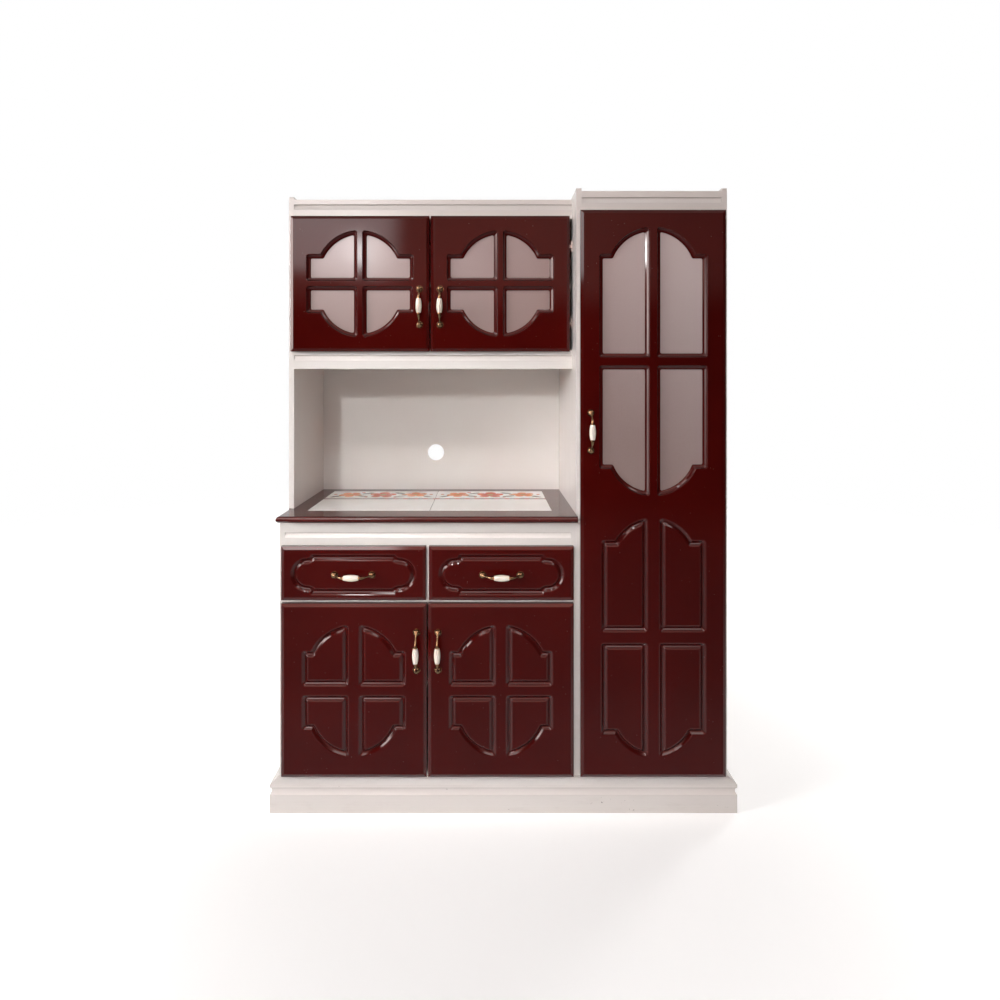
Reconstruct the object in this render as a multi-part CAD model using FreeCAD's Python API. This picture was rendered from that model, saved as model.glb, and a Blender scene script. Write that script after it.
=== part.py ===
import FreeCAD
import Part
import math
import os

Vector = FreeCAD.Vector

# Kitchen cupboard, seen from the front: left unit of drawers, doors and niche, tall unit on the right
# All lengths are in millimetres; the origin is on the floor, under the middle of the whole object
left_unit_width = 895.0
tall_unit_width = 455.0
carcass_depth = 430.0
upper_setback = 84.0

# Heights, stacked from the floor up
door_bottom = 105.0
base_door_height = 518.0
deck_show = 10.0
drawer_front_height = 161.0
base_rail_show = 74.0
worktop_thickness = 18.0
niche_height = 441.0
mid_rail_show = 54.0
upper_door_height = 425.0
upper_rail_show = 56.0
tall_rail_show = 62.0
ear_rise = 8.0

# Boards, gaps and clearances
board = 16.0
back_thickness = 4.0
back_recess = 4.0
back_groove = 5.0
rail_thickness = 18.0
door_thickness = 18.0
door_gap = 3.0
door_reveal = 10.0
pair_gap = 4.0
drawer_gap = 8.5
seat_clearance = 0.3
pin_clearance = 0.08
overrun = 2.0

# Moulded rails: a flat band, an undercut cove below it, then a flat foot
rail_cove_height = 17.0
rail_cove_depth = 5.0
base_rail_band = 36.0
mid_rail_band = 17.0
upper_rail_band = 15.0
tall_rail_band = 19.0
cove_middle_share = 0.72

# Plinth moulding, from the floor up
plinth_height = 99.0
plinth_projection = 22.0
plinth_flat = 54.0
plinth_cove_height = 22.0
plinth_cove_depth = 5.0
plinth_lip = 8.0
plinth_top_width = 3.0

# Worktop with its moulded edge, and the tiles laid in it
worktop_overhang = 36.0
worktop_round_width = 8.0
worktop_round_height = 9.0
worktop_nose = 4.0
worktop_undercut = 5.0
round_middle_share = 0.7
tile_side_margin = 67.5
tile_front_margin = 53.0
tile_rear_margin = 52.0
tile_thickness = 8.0
tile_proud = 0.8
tile_joint = 1.5
tile_bevel = 1.2
tile_count = 2

# Round hole for cables in the back of the niche
cable_hole_radius = 30.0
cable_hole_rise = 138.0
cable_hole_offset = -11.5

# Edges of doors and drawer fronts
edge_bevel_width = 9.5
edge_bevel_depth = 3.8

# Door patterns: four openings or panels about a mullion and a transom
upper_pane_stile = 50.25
upper_pane_rail = 45.5
upper_pane_mullion = 16.0
upper_pane_transom = 16.0
upper_pane_shoulder = 44.5
upper_pane_drop = 75.0
base_panel_stile = 61.25
base_panel_rail = 60.5
base_panel_mullion = 28.0
base_panel_transom = 25.0
base_panel_shoulder = 28.5
base_panel_drop = 78.5
tall_pane_stile = 56.0
tall_pane_half_height = 402.0
tall_pane_mullion = 22.0
tall_pane_transom = 24.0
tall_pane_shoulder = 34.5
tall_pane_drop = 81.0
tall_panel_stile = 59.5
tall_panel_mullion = 31.5
tall_panel_transom = 31.0
tall_panel_shoulder = 42.0
tall_panel_drop = 66.0
tall_top_margin = 51.0
tall_bottom_margin = 60.0
tall_group_gap = 64.5
pattern_corner = 8.0
corner_loss_share = 0.75
pattern_hollow = 3.0
hollow_growth_share = 0.3

# Section of the routed grooves, and of the rounded edge round each glazed opening
routed_width = 21.0
routed_depth = 6.0
routed_floor = 2.0
routed_wall_shares = ((0.0, 0.0), (0.3, 0.16), (0.74, 0.74), (1.0, 1.0))
pane_round_width = 12.0
pane_round_depth = 10.0
pane_round_shares = ((0.0, 0.0), (0.22, 0.52), (0.58, 0.85), (1.0, 1.0))
glass_thickness = 4.0
glass_rebate = 6.0
glass_margin = 8.0

# Plaque routed on each drawer front
plaque_stile = 27.625
plaque_rail = 19.0
plaque_step = 10.0
plaque_drop = 3.0

# Concealed hinges: a cup and pin in the door, an arm on the cupboard wall
cup_radius = 17.5
cup_wall = 1.5
cup_depth = 14.0
cup_floor = 1.0
cup_place = 21.0
cup_clearance = 0.15
cup_flange_thickness = 1.2
cup_flange_width = 28.0
cup_flange_height = 62.0
pin_place = 8.0
pin_depth = 10.0
pin_radius = 1.2
eye_radius = 2.1
arm_height = 8.0
arm_sheet = 2.2
arm_lap = 0.3
arm_reach = 12.3
arm_setback = 8.0
plate_thickness = 2.5
plate_length = 46.0
plate_height = 34.0
plate_setback = 4.0
end_cup_inset = 90.0
pair_cup_count = 2
tall_cup_count = 4

# Pull handles: domed feet on a ring, curved necks that flare to a collar, and a barrel grip on a rod
handle_half_span = 56.0
handle_foot_radius = 10.0
handle_foot_rise = 3.0
foot_ring_radius = 10.8
foot_ring_height = 1.8
grip_half_length = 22.0
grip_radius = 9.5
grip_end_radius = 6.5
grip_height = 32.0
rod_radius = 2.5
collar_radius = 6.0
collar_length = 2.4
neck_shares = ((0.0, 0.26, 0.9, 0.5), (0.24, 0.57, 0.45, 0.43), (0.52, 0.86, 0.47, 0.2),
               (0.8, 0.99, 0.72, 0.02), (1.0, 1.0, 0.6, 0.0))
handle_inset = 30.0
base_handle_drop = 140.0
upper_handle_rise = 139.0
tall_handle_rise = 1032.0

# Drawer boxes and the strips that they run on
drawer_side = 12.0
drawer_head_gap = 14.0
drawer_rear_gap = 50.0
drawer_side_clearance = 1.0
drawer_lift = 8.0
drawer_bottom_thickness = 4.0
drawer_bottom_rise = 10.0
drawer_bottom_groove = 4.0
runner_height = 12.0
runner_groove = 6.0
runner_rise = 60.0
runner_setback = 20.0
runner_stop = 5.0
runner_rear_gap = 32.0

# Loose shelves on pins
upper_shelf_count = 1
base_shelf_count = 1
tall_shelf_count = 4
shelf_setback = 24.0
shelf_end_gap = 1.0
shelf_pin_radius = 2.5
shelf_pin_length = 16.0
shelf_pin_inset = 40.0

# Places worked out from the sizes
overlay = board - door_reveal
handle_reach = grip_height + grip_radius
body_half = (left_unit_width + tall_unit_width) / 2
x_left = -body_half
x_right = body_half
x_meet = x_left + left_unit_width
x_left_middle = (x_left + x_meet) / 2
y_back = (carcass_depth + door_gap + door_thickness + handle_reach) / 2
y_front = y_back - carcass_depth
y_upper = y_front + upper_setback
y_panel = y_back - back_recess - back_thickness
door_top = door_bottom + base_door_height
drawer_bottom_edge = door_top + deck_show
drawer_top_edge = drawer_bottom_edge + drawer_front_height
base_top = drawer_top_edge + base_rail_show
worktop_top = base_top + worktop_thickness
mid_rail_bottom = worktop_top + niche_height
upper_door_bottom = mid_rail_bottom + mid_rail_show
upper_door_top = upper_door_bottom + upper_door_height
rail_top = upper_door_top + upper_rail_show
ear_top = rail_top + ear_rise
tall_door_top = rail_top - tall_rail_show
floor_top = door_bottom + overlay
deck_middle = door_top + deck_show / 2
deck_top = deck_middle + board / 2
upper_floor_top = upper_door_bottom + overlay
upper_ceiling = upper_door_top - overlay
tall_ceiling = tall_door_top - overlay
pair_width = (left_unit_width - 2 * door_reveal - pair_gap) / 2
drawer_front_width = (left_unit_width - 2 * door_reveal - drawer_gap) / 2
drawer_side_height = drawer_top_edge - overlay - deck_top - drawer_lift - drawer_head_gap
drawer_rear = y_panel - drawer_rear_gap
plaque_half_height = drawer_front_height / 2 - plaque_rail
plaque_lug_radius = plaque_half_height - plaque_step
plaque_lug_place = drawer_front_width / 2 - plaque_stile - plaque_lug_radius


def block(x0, x1, y0, y1, z0, z1):
    """A box between two corners."""
    return Part.makeBox(x1 - x0, y1 - y0, z1 - z0, Vector(x0, y0, z0))


def cut_all(shape, tools):
    """Cut every tool from a shape."""
    for tool in tools:
        shape = shape.cut(tool)
    return shape


def fuse_all(shapes):
    """Join shapes into one solid and clean its seams."""
    joined = shapes[0]
    for shape in shapes[1:]:
        joined = joined.fuse(shape)
    return joined.removeSplitter()


def save(name, shapes):
    """Write one piece, or one group of like pieces, to its own file."""
    solids = [solid for shape in shapes for solid in shape.Solids]
    Part.makeCompound(solids).exportStep("parts/" + name + ".step")


def side_board(x0, y0, z0, z1, cuts):
    """An upright side from a front plane to the back, with the grooves and pin holes given."""
    return cut_all(block(x0, x0 + board, y0, y_back, z0, z1), cuts)


def back_groove_cut(face, inward, z0, z1):
    """The groove for a back panel, cut into a side from its face."""
    x0, x1 = sorted((face - inward * overrun, face + inward * back_groove))
    return block(x0, x1, y_panel, y_panel + back_thickness, z0, z1)


def back_panel(x0, x1, z0, z1):
    """A back panel, held in the grooves of two sides whose inner faces are given."""
    reach = back_groove - seat_clearance
    return block(x0 - reach, x1 + reach, y_panel, y_panel + back_thickness, z0, z1)


def profile_wire(points):
    """A closed wire of lines, and of arcs where a point comes with the middle of an arc before it."""
    edges = []
    place = points[-1][-1]
    for step in points:
        if len(step) > 1:
            edges.append(Part.Arc(place, step[0], step[1]).toShape())
        else:
            edges.append(Part.makeLine(place, step[0]))
        place = step[-1]
    return Part.Wire(edges)


def extrude(wire, travel):
    """A solid swept from a flat closed wire."""
    return Part.Face(wire).extrude(travel)


def rail(x0, x1, plane, z0, z1, band):
    """A moulded rail between two walls, flush with the front plane of its unit."""
    cove_top = z1 - band
    cove_bottom = cove_top - rail_cove_height
    back = plane + rail_thickness
    middle = Vector(x0, plane + rail_cove_depth * cove_middle_share, (cove_top + cove_bottom) / 2)
    wire = profile_wire([
        [Vector(x0, plane, z0)],
        [Vector(x0, plane, cove_bottom)],
        [middle, Vector(x0, plane + rail_cove_depth, cove_top)],
        [Vector(x0, plane, cove_top)],
        [Vector(x0, plane, z1)],
        [Vector(x0, back, z1)],
        [Vector(x0, back, z0)],
    ])
    return extrude(wire, Vector(x1 - x0, 0, 0))


def plinth_wire(corner, outward):
    """The plinth's section at a corner of the body, with its face turned outward."""
    cove_top = plinth_flat + plinth_cove_height
    lip_top = cove_top + plinth_lip

    def at(reach, height):
        return corner + outward * reach + Vector(0, 0, height)

    return profile_wire([
        [at(plinth_projection, 0)],
        [at(plinth_projection, plinth_flat)],
        [at(plinth_projection - plinth_cove_depth, plinth_flat + plinth_cove_height / 2),
         at(plinth_projection, cove_top)],
        [at(plinth_projection, lip_top)],
        [at(plinth_top_width, plinth_height)],
        [at(0, plinth_height)],
        [at(0, 0)],
    ])


def mitre(side, along_front):
    """The wedge cut off the front plinth, or off a return, at the corner on one side."""
    reach = plinth_projection + overrun
    corner = Vector(side * body_half, y_front, -overrun)
    tip = corner + Vector(side * reach, -reach, 0)
    square = corner + (Vector(side * reach, 0, 0) if along_front else Vector(0, -reach, 0))
    outline = Part.makePolygon([corner, tip, square, corner])
    return extrude(outline, Vector(0, 0, plinth_height + 2 * overrun))


def make_plinth():
    """The front plinth board and the two returns mitred to it."""
    start = Vector(x_left - plinth_projection, y_front, 0)
    length = 2 * (body_half + plinth_projection)
    front = extrude(plinth_wire(start, Vector(0, -1, 0)), Vector(length, 0, 0))
    save("plinth_front", [cut_all(front, [mitre(-1, True), mitre(1, True)])])
    returns = []
    for side in (-1, 1):
        corner = Vector(side * body_half, y_front - plinth_projection, 0)
        run = extrude(plinth_wire(corner, Vector(side, 0, 0)), Vector(0, y_back - corner.y, 0))
        returns.append(run.cut(mitre(side, False)))
    save("plinth_returns", returns)


def edge_points(tip, inward, top, bottom):
    """The moulded edge of the worktop, from its underside up to its top, at its outermost point."""
    nose_top = top - worktop_round_height
    nose_bottom = nose_top - worktop_nose

    def at(reach, height):
        return tip + inward * reach + Vector(0, 0, height)

    swell = worktop_round_width * (1 - round_middle_share)
    return [
        [at(worktop_undercut, bottom)],
        [at(0, nose_bottom)],
        [at(0, nose_top)],
        [at(swell, nose_top + worktop_round_height * round_middle_share), at(worktop_round_width, top)],
    ]


def tile_field():
    """Corners of the field that the tiles fill, in plan."""
    return (x_left + tile_side_margin, x_meet - tile_side_margin,
            y_front + tile_front_margin, y_back - tile_rear_margin)


def make_worktop():
    """The worktop, moulded along its front and round its free left end, sunk for the tiles."""
    y_edge = y_front - worktop_overhang
    front_points = edge_points(Vector(x_left, y_edge, 0), Vector(0, 1, 0), worktop_top, base_top)
    front_points += [[Vector(x_left, y_back, worktop_top)], [Vector(x_left, y_back, base_top)]]
    slab = extrude(profile_wire(front_points), Vector(left_unit_width, 0, 0))
    end_points = edge_points(Vector(x_left, y_edge, 0), Vector(1, 0, 0), worktop_top, base_top)
    end_points += [[Vector(x_meet, y_edge, worktop_top)], [Vector(x_meet, y_edge, base_top)]]
    end = extrude(profile_wire(end_points), Vector(0, y_upper - y_edge, 0))
    rear = block(x_left, x_meet, y_upper, y_back, base_top, worktop_top)
    top = fuse_all([slab.common(end), slab.common(rear)])
    x0, x1, y0, y1 = tile_field()
    sunk = worktop_top - (tile_thickness - tile_proud)
    save("worktop", [top.cut(block(x0, x1, y0, y1, sunk, worktop_top + overrun))])


def make_tiles():
    """Flat tiles side by side, with eased top edges."""
    x0, x1, y0, y1 = tile_field()
    pitch = (x1 - x0 - 2 * seat_clearance + tile_joint) / tile_count
    base = worktop_top - (tile_thickness - tile_proud)
    tiles = []
    for index in range(tile_count):
        left = x0 + seat_clearance + index * pitch
        tile = block(left, left + pitch - tile_joint, y0 + seat_clearance, y1 - seat_clearance,
                     base, base + tile_thickness)
        tops = [edge for edge in tile.Edges if edge.BoundBox.ZMin > base + tile_thickness / 2]
        tiles.append(tile.makeChamfer(tile_bevel, tops))
    save("worktop_tiles", tiles)


def shelf_places(low, high, count):
    """Heights of the undersides of shelves spaced evenly between a floor and a ceiling."""
    clear = (high - low - count * board) / (count + 1)
    return [low + clear + index * (clear + board) for index in range(count)]


def shelf_bays():
    """Each bay with loose shelves: its two inner faces, front plane, and shelf heights."""
    upper = (x_left + board, x_meet, y_upper,
             shelf_places(upper_floor_top, upper_ceiling, upper_shelf_count))
    base = (x_left + board, x_meet - board, y_front,
            shelf_places(floor_top, deck_top - board, base_shelf_count))
    tall = (x_meet + board, x_right - board, y_front,
            shelf_places(floor_top, tall_ceiling, tall_shelf_count))
    return upper, base, tall


def pin_rows(bay):
    """Depths of the two rows of pins in a bay."""
    plane = bay[2]
    return plane + shelf_setback + shelf_pin_inset, y_panel - shelf_end_gap - shelf_pin_inset


def pin_cylinder(face, inward, y, z, radius, reach):
    """A level cylinder across a wall's face, half of the pin's length into the wall."""
    start = Vector(face - inward * shelf_pin_length / 2, y, z)
    return Part.makeCylinder(radius, reach, start, Vector(inward, 0, 0))


def pin_holes(bay, face, inward):
    """Blind holes for the shelf pins in one wall of a bay."""
    radius = shelf_pin_radius + pin_clearance
    reach = shelf_pin_length / 2 + overrun
    return [pin_cylinder(face, inward, y, z - shelf_pin_radius, radius, reach)
            for z in bay[3] for y in pin_rows(bay)]


def make_shelves():
    """Loose shelves, and the pins that carry them."""
    shelves = []
    pins = []
    for bay in shelf_bays():
        left, right, plane, heights = bay
        for z in heights:
            shelves.append(block(left + shelf_end_gap, right - shelf_end_gap, plane + shelf_setback,
                                 y_panel - shelf_end_gap, z, z + board))
            for y in pin_rows(bay):
                for face, inward in ((left, 1), (right, -1)):
                    pins.append(pin_cylinder(face, inward, y, z - shelf_pin_radius, shelf_pin_radius,
                                             shelf_pin_length))
    save("shelves", shelves)
    save("shelf_pins", pins)


def make_base():
    """The base unit's boards, back and top rail."""
    inner_left = x_left + board
    inner_right = x_meet - board
    bay = shelf_bays()[1]
    left_cuts = [back_groove_cut(inner_left, -1, 0, base_top)] + pin_holes(bay, inner_left, 1)
    right_cuts = [back_groove_cut(inner_right, 1, 0, base_top)] + pin_holes(bay, inner_right, -1)
    save("base_left_side", [side_board(x_left, y_front, 0, base_top, left_cuts)])
    save("base_right_side", [side_board(inner_right, y_front, 0, base_top, right_cuts)])
    save("base_bottom", [block(inner_left, inner_right, y_front, y_panel, floor_top - board, floor_top)])
    save("base_deck", [block(inner_left, inner_right, y_front, y_panel, deck_top - board, deck_top)])
    save("base_back", [back_panel(inner_left, inner_right, floor_top - board, base_top)])
    rail_bottom = drawer_top_edge - overlay
    save("base_top_rail", [rail(inner_left, inner_right, y_front, rail_bottom, base_top, base_rail_band)])
    divider_left = x_left_middle - board / 2
    divider = block(divider_left, divider_left + board, y_front, y_panel, deck_top, base_top)
    notch = block(divider_left - overrun, divider_left + board + overrun, y_front - overrun,
                  y_front + rail_thickness, rail_bottom, base_top + overrun)
    save("base_divider", [divider.cut(notch)])


def make_upper():
    """The upper unit's boards, rails, and the back with its cable hole."""
    inner_left = x_left + board
    cuts = [back_groove_cut(inner_left, -1, worktop_top, ear_top)]
    cuts += pin_holes(shelf_bays()[0], inner_left, 1)
    save("upper_left_side", [side_board(x_left, y_upper, worktop_top, ear_top, cuts)])
    behind = y_upper + rail_thickness
    save("upper_top", [block(inner_left, x_meet, behind, y_panel, upper_ceiling, upper_ceiling + board)])
    save("upper_bottom", [block(inner_left, x_meet, behind, y_panel,
                                upper_floor_top - board, upper_floor_top)])
    save("upper_mid_rail", [rail(inner_left, x_meet, y_upper, mid_rail_bottom, upper_floor_top,
                                 mid_rail_band)])
    save("upper_top_rail", [rail(inner_left, x_meet, y_upper, upper_ceiling, rail_top, upper_rail_band)])
    panel = back_panel(inner_left, x_meet, worktop_top, upper_ceiling + board)
    centre = Vector(x_left_middle + cable_hole_offset, y_panel - overrun, worktop_top + cable_hole_rise)
    hole = Part.makeCylinder(cable_hole_radius, back_thickness + 2 * overrun, centre, Vector(0, 1, 0))
    save("upper_back", [panel.cut(hole)])


def make_tall():
    """The tall unit's boards, back and top rail; its left side also closes the niche and upper unit."""
    inner_left = x_meet + board
    inner_right = x_right - board
    upper_bay = shelf_bays()[0]
    bay = shelf_bays()[2]
    left_cuts = [back_groove_cut(inner_left, -1, 0, ear_top),
                 back_groove_cut(x_meet, 1, worktop_top, ear_top)]
    left_cuts += pin_holes(bay, inner_left, 1) + pin_holes(upper_bay, x_meet, -1)
    right_cuts = [back_groove_cut(inner_right, 1, 0, ear_top)] + pin_holes(bay, inner_right, -1)
    save("tall_left_side", [side_board(x_meet, y_front, 0, ear_top, left_cuts)])
    save("tall_right_side", [side_board(inner_right, y_front, 0, ear_top, right_cuts)])
    save("tall_bottom", [block(inner_left, inner_right, y_front, y_panel, floor_top - board, floor_top)])
    save("tall_top", [block(inner_left, inner_right, y_front + rail_thickness, y_panel,
                            tall_ceiling, tall_ceiling + board)])
    save("tall_top_rail", [rail(inner_left, inner_right, y_front, tall_ceiling, rail_top, tall_rail_band)])
    save("tall_back", [back_panel(inner_left, inner_right, floor_top - board, tall_ceiling + board)])


def arc_edge(centre, radius, start, end, y):
    """An arc in an upright plane, from one angle to another."""
    points = [Vector(centre[0] + radius * math.cos(angle), y, centre[1] + radius * math.sin(angle))
              for angle in (start, (start + end) / 2, end)]
    return Part.Arc(*points).toShape()


def arc_wire(arcs, y):
    """A closed wire of arcs in order, each with a line to the next unless it is said to run into it."""
    curves = [arc_edge(centre, radius, start, end, y) for centre, radius, start, end, runs_on in arcs]
    edges = []
    for index, curve in enumerate(curves):
        edges.append(curve)
        if not arcs[index][-1]:
            following = curves[(index + 1) % len(curves)]
            end = curve.valueAt(curve.LastParameter)
            edges.append(Part.makeLine(end, following.valueAt(following.FirstParameter)))
    return Part.Wire(edges)


class Pattern:
    """Four openings or panels about a mullion and a transom, each with a shoulder and an arched end."""

    def __init__(self, half_width, half_height, mullion, transom, shoulder, drop):
        self.half_width = half_width
        self.half_height = half_height
        self.inner_x = mullion / 2
        self.inner_z = transom / 2
        self.shoulder_z = half_height - drop
        shoulder_x = half_width - shoulder
        crown = self.inner_x ** 2 + half_height ** 2
        spring = shoulder_x ** 2 + self.shoulder_z ** 2
        self.arch_z = (crown - spring) / (2 * drop)
        self.arch_radius = math.hypot(self.inner_x, half_height - self.arch_z)

    def wire(self, inset, y):
        """The upper right quarter, drawn inset from its outline."""
        corner = pattern_corner * (1 - corner_loss_share * inset / routed_width)
        left = self.inner_x + inset + corner
        low = self.inner_z + inset + corner
        right = self.half_width - inset - corner
        shoulder = self.shoulder_z - inset - corner
        arch = (0, self.arch_z)
        radius = self.arch_radius - inset
        hollow = pattern_hollow + hollow_growth_share * inset
        hollow_z = self.shoulder_z - inset + hollow
        hollow_x = math.sqrt((radius + hollow) ** 2 - (hollow_z - self.arch_z) ** 2)
        spring_angle = math.atan2(hollow_z - self.arch_z, hollow_x)
        crown_angle = math.acos(left / (radius - corner))
        crown_z = self.arch_z + math.sqrt((radius - corner) ** 2 - left ** 2)
        quarter = math.pi / 2
        return arc_wire([
            ((left, low), corner, 2 * quarter, 3 * quarter, False),
            ((right, low), corner, 3 * quarter, 4 * quarter, False),
            ((right, shoulder), corner, 0, quarter, False),
            ((hollow_x, hollow_z), hollow, 3 * quarter, 2 * quarter + spring_angle, True),
            (arch, radius, spring_angle, crown_angle, True),
            ((left, crown_z), corner, crown_angle, 2 * quarter, False),
        ], y)


def plaque_wire(inset, y):
    """The plaque of a drawer front: a long panel with a hollow step to a round lug at each end."""
    lug_radius = plaque_lug_radius - inset
    step_radius = plaque_step + inset
    lean = math.asin(inset / step_radius)
    quarter = math.pi / 2
    right, left = plaque_lug_place, -plaque_lug_place
    top, bottom = plaque_half_height, -plaque_half_height
    return arc_wire([
        ((right, 0), lug_radius, -quarter, quarter, True),
        ((right, top), step_radius, 3 * quarter, 2 * quarter + lean, False),
        ((left, top), step_radius, 4 * quarter - lean, 3 * quarter, True),
        ((left, 0), lug_radius, quarter, 3 * quarter, True),
        ((left, bottom), step_radius, quarter, lean, False),
        ((right, bottom), step_radius, 2 * quarter - lean, quarter, True),
    ], y)


def loft(wires):
    """A solid with straight sides through matching wires."""
    return Part.makeLoft(wires, True, True)


def routed_groove(outline, face):
    """A groove with ogee walls that follows an outline, to cut from a face that looks along -Y."""
    wall = (routed_width - routed_floor) / 2
    steps = [(wall * across, face + routed_depth * deep) for across, deep in routed_wall_shares]
    outer = loft([outline(reach, depth) for reach, depth in steps])
    island = loft([outline(routed_width - reach, depth) for reach, depth in steps])
    return outer.cut(island)


def glazed_opening(outline, face, back):
    """An opening with a rounded edge, to cut through a door."""
    wires = [outline(pane_round_width * across, face + pane_round_depth * deep)
             for across, deep in pane_round_shares]
    front = extrude(outline(0, face), Vector(0, -overrun, 0))
    narrow = outline(pane_round_width, face + pane_round_depth)
    through = extrude(narrow, Vector(0, back + overrun - face, 0))
    return [front, loft(wires), through]


def four_ways(tool):
    """A tool for one quarter, and its mirror images in the other three."""
    across = tool.mirror(Vector(0, 0, 0), Vector(1, 0, 0))
    below = [shape.mirror(Vector(0, 0, 0), Vector(0, 0, 1)) for shape in (tool, across)]
    return [tool, across] + below


def rectangle(x0, x1, z0, z1, y):
    """An upright rectangle of wire."""
    corners = [Vector(x0, y, z0), Vector(x1, y, z0), Vector(x1, y, z1), Vector(x0, y, z1)]
    return Part.makePolygon(corners + corners[:1])


def bevelled_board(x0, x1, z0, z1, face, back):
    """A door or drawer front with a bevel round its face."""
    slope_start = face + edge_bevel_depth
    inner = rectangle(x0 + edge_bevel_width, x1 - edge_bevel_width,
                      z0 + edge_bevel_width, z1 - edge_bevel_width, face)
    return loft([rectangle(x0, x1, z0, z1, back), rectangle(x0, x1, z0, z1, slope_start), inner])


def placed(shape, x, y, z):
    """A copy of a shape, moved."""
    moved = shape.copy()
    moved.translate(Vector(x, y, z))
    return moved


def out_cylinder(radius, x, start, depth):
    """A cylinder that runs forward from a depth behind the face."""
    return Part.makeCylinder(radius, depth, Vector(x, start, 0), Vector(0, -1, 0))


def hinge_cup():
    """A cup with its flange and pin, at a door edge on the left, in front of a carcass plane at zero."""
    back = -door_gap
    outer = out_cylinder(cup_radius, cup_place, back, cup_depth)
    flange = block(cup_place - cup_flange_width / 2, cup_place + cup_flange_width / 2,
                   back, back + cup_flange_thickness, -cup_flange_height / 2, cup_flange_height / 2)
    hollow_radius = cup_radius - cup_wall
    hollow = out_cylinder(hollow_radius, cup_place, back + cup_flange_thickness + overrun,
                          cup_flange_thickness + overrun + cup_depth - cup_floor)
    half_pin = math.sqrt(hollow_radius ** 2 - (cup_place - pin_place) ** 2) + cup_wall / 2
    pin = Part.makeCylinder(pin_radius, 2 * half_pin, Vector(pin_place, back - pin_depth, -half_pin))
    return fuse_all([outer.fuse(flange).cut(hollow), pin])


def hinge_arm(wall):
    """An arm from the pin's eye, out of the cup and back to its plate on a wall at a place given."""
    pin_y = -door_gap - pin_depth
    bar_back = pin_y + arm_lap
    bar_front = bar_back - arm_sheet
    leg = pin_place + arm_reach
    plate_face = wall + plate_thickness
    outline = [(pin_place, bar_back), (leg, bar_back), (leg, arm_setback), (plate_face, arm_setback),
               (plate_face, arm_setback + arm_sheet), (leg + arm_sheet, arm_setback + arm_sheet),
               (leg + arm_sheet, bar_front), (pin_place, bar_front)]
    corners = [Vector(x, y, -arm_height / 2) for x, y in outline]
    bar = extrude(Part.makePolygon(corners + corners[:1]), Vector(0, 0, arm_height))
    eye_foot = Vector(pin_place, pin_y, -arm_height / 2)
    eye = Part.makeCylinder(eye_radius, arm_height, eye_foot)
    bore = Part.makeCylinder(pin_radius + pin_clearance, arm_height, eye_foot)
    plate = block(wall, plate_face, plate_setback, plate_setback + plate_length,
                  -plate_height / 2, plate_height / 2)
    return fuse_all([bar, eye, plate]).cut(bore)


def handed(shape, hinge_side):
    """A left-hand hinge piece as it is, or mirrored for a door that hangs on its right edge."""
    return shape if hinge_side > 0 else shape.mirror(Vector(0, 0, 0), Vector(1, 0, 0))


def neck():
    """A curved neck from a foot to one end of the grip, above the middle of the handle."""
    run = handle_half_span - grip_half_length
    rings = []
    for along, rise, size, tilt in neck_shares:
        angle = tilt * math.pi / 2
        centre = Vector(0, -grip_height * rise, handle_half_span - run * along)
        direction = Vector(0, -math.sin(angle), -math.cos(angle))
        rings.append(Part.Wire(Part.makeCircle(collar_radius * size, centre, direction)))
    return Part.makeLoft(rings, True, False)


def pull_handle():
    """The metal of an upright handle on a face at zero: two feet, two necks, and the rod in the grip."""
    ball = Part.makeSphere(handle_foot_radius)
    ball.translate(Vector(0, -handle_foot_rise, handle_half_span))
    behind = block(-2 * handle_foot_radius, 2 * handle_foot_radius, 0, 2 * handle_foot_radius,
                   0, 2 * handle_half_span)
    ring = out_cylinder(foot_ring_radius, 0, 0, foot_ring_height)
    ring.translate(Vector(0, 0, handle_half_span))
    collar = Part.makeCylinder(collar_radius, collar_length, Vector(0, -grip_height, grip_half_length))
    end = ball.fuse([neck(), ring, collar]).cut(behind)
    other = end.mirror(Vector(0, 0, 0), Vector(0, 0, 1))
    rod = Part.makeCylinder(rod_radius, 2 * grip_half_length, Vector(0, -grip_height, -grip_half_length))
    return fuse_all([end, other, rod])


def barrel_grip():
    """The barrel of the grip, bored for its rod."""
    bore = rod_radius + pin_clearance
    wire = profile_wire([
        [Vector(bore, 0, -grip_half_length)],
        [Vector(grip_end_radius, 0, -grip_half_length)],
        [Vector(grip_radius, 0, 0), Vector(grip_end_radius, 0, grip_half_length)],
        [Vector(bore, 0, grip_half_length)],
    ])
    barrel = Part.Face(wire).revolve(Vector(0, 0, 0), Vector(0, 0, 1), math.degrees(2 * math.pi))
    barrel.translate(Vector(0, -grip_height, 0))
    return barrel


def make_handle(name, x, face, z, upright):
    """A handle and its grip on a front, upright or level."""
    for piece, shape in (("handle", pull_handle()), ("grip", barrel_grip())):
        if not upright:
            shape.rotate(Vector(0, 0, 0), Vector(0, 1, 0), math.degrees(math.pi / 2))
        save(name + "_" + piece, [placed(shape, x, face, z)])


def hinge_heights(z0, z1, count):
    """Heights of the hinges of a door, evenly spaced between the end ones."""
    step = (z1 - z0 - 2 * end_cup_inset) / (count - 1)
    return [z0 + end_cup_inset + index * step for index in range(count)]


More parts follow.
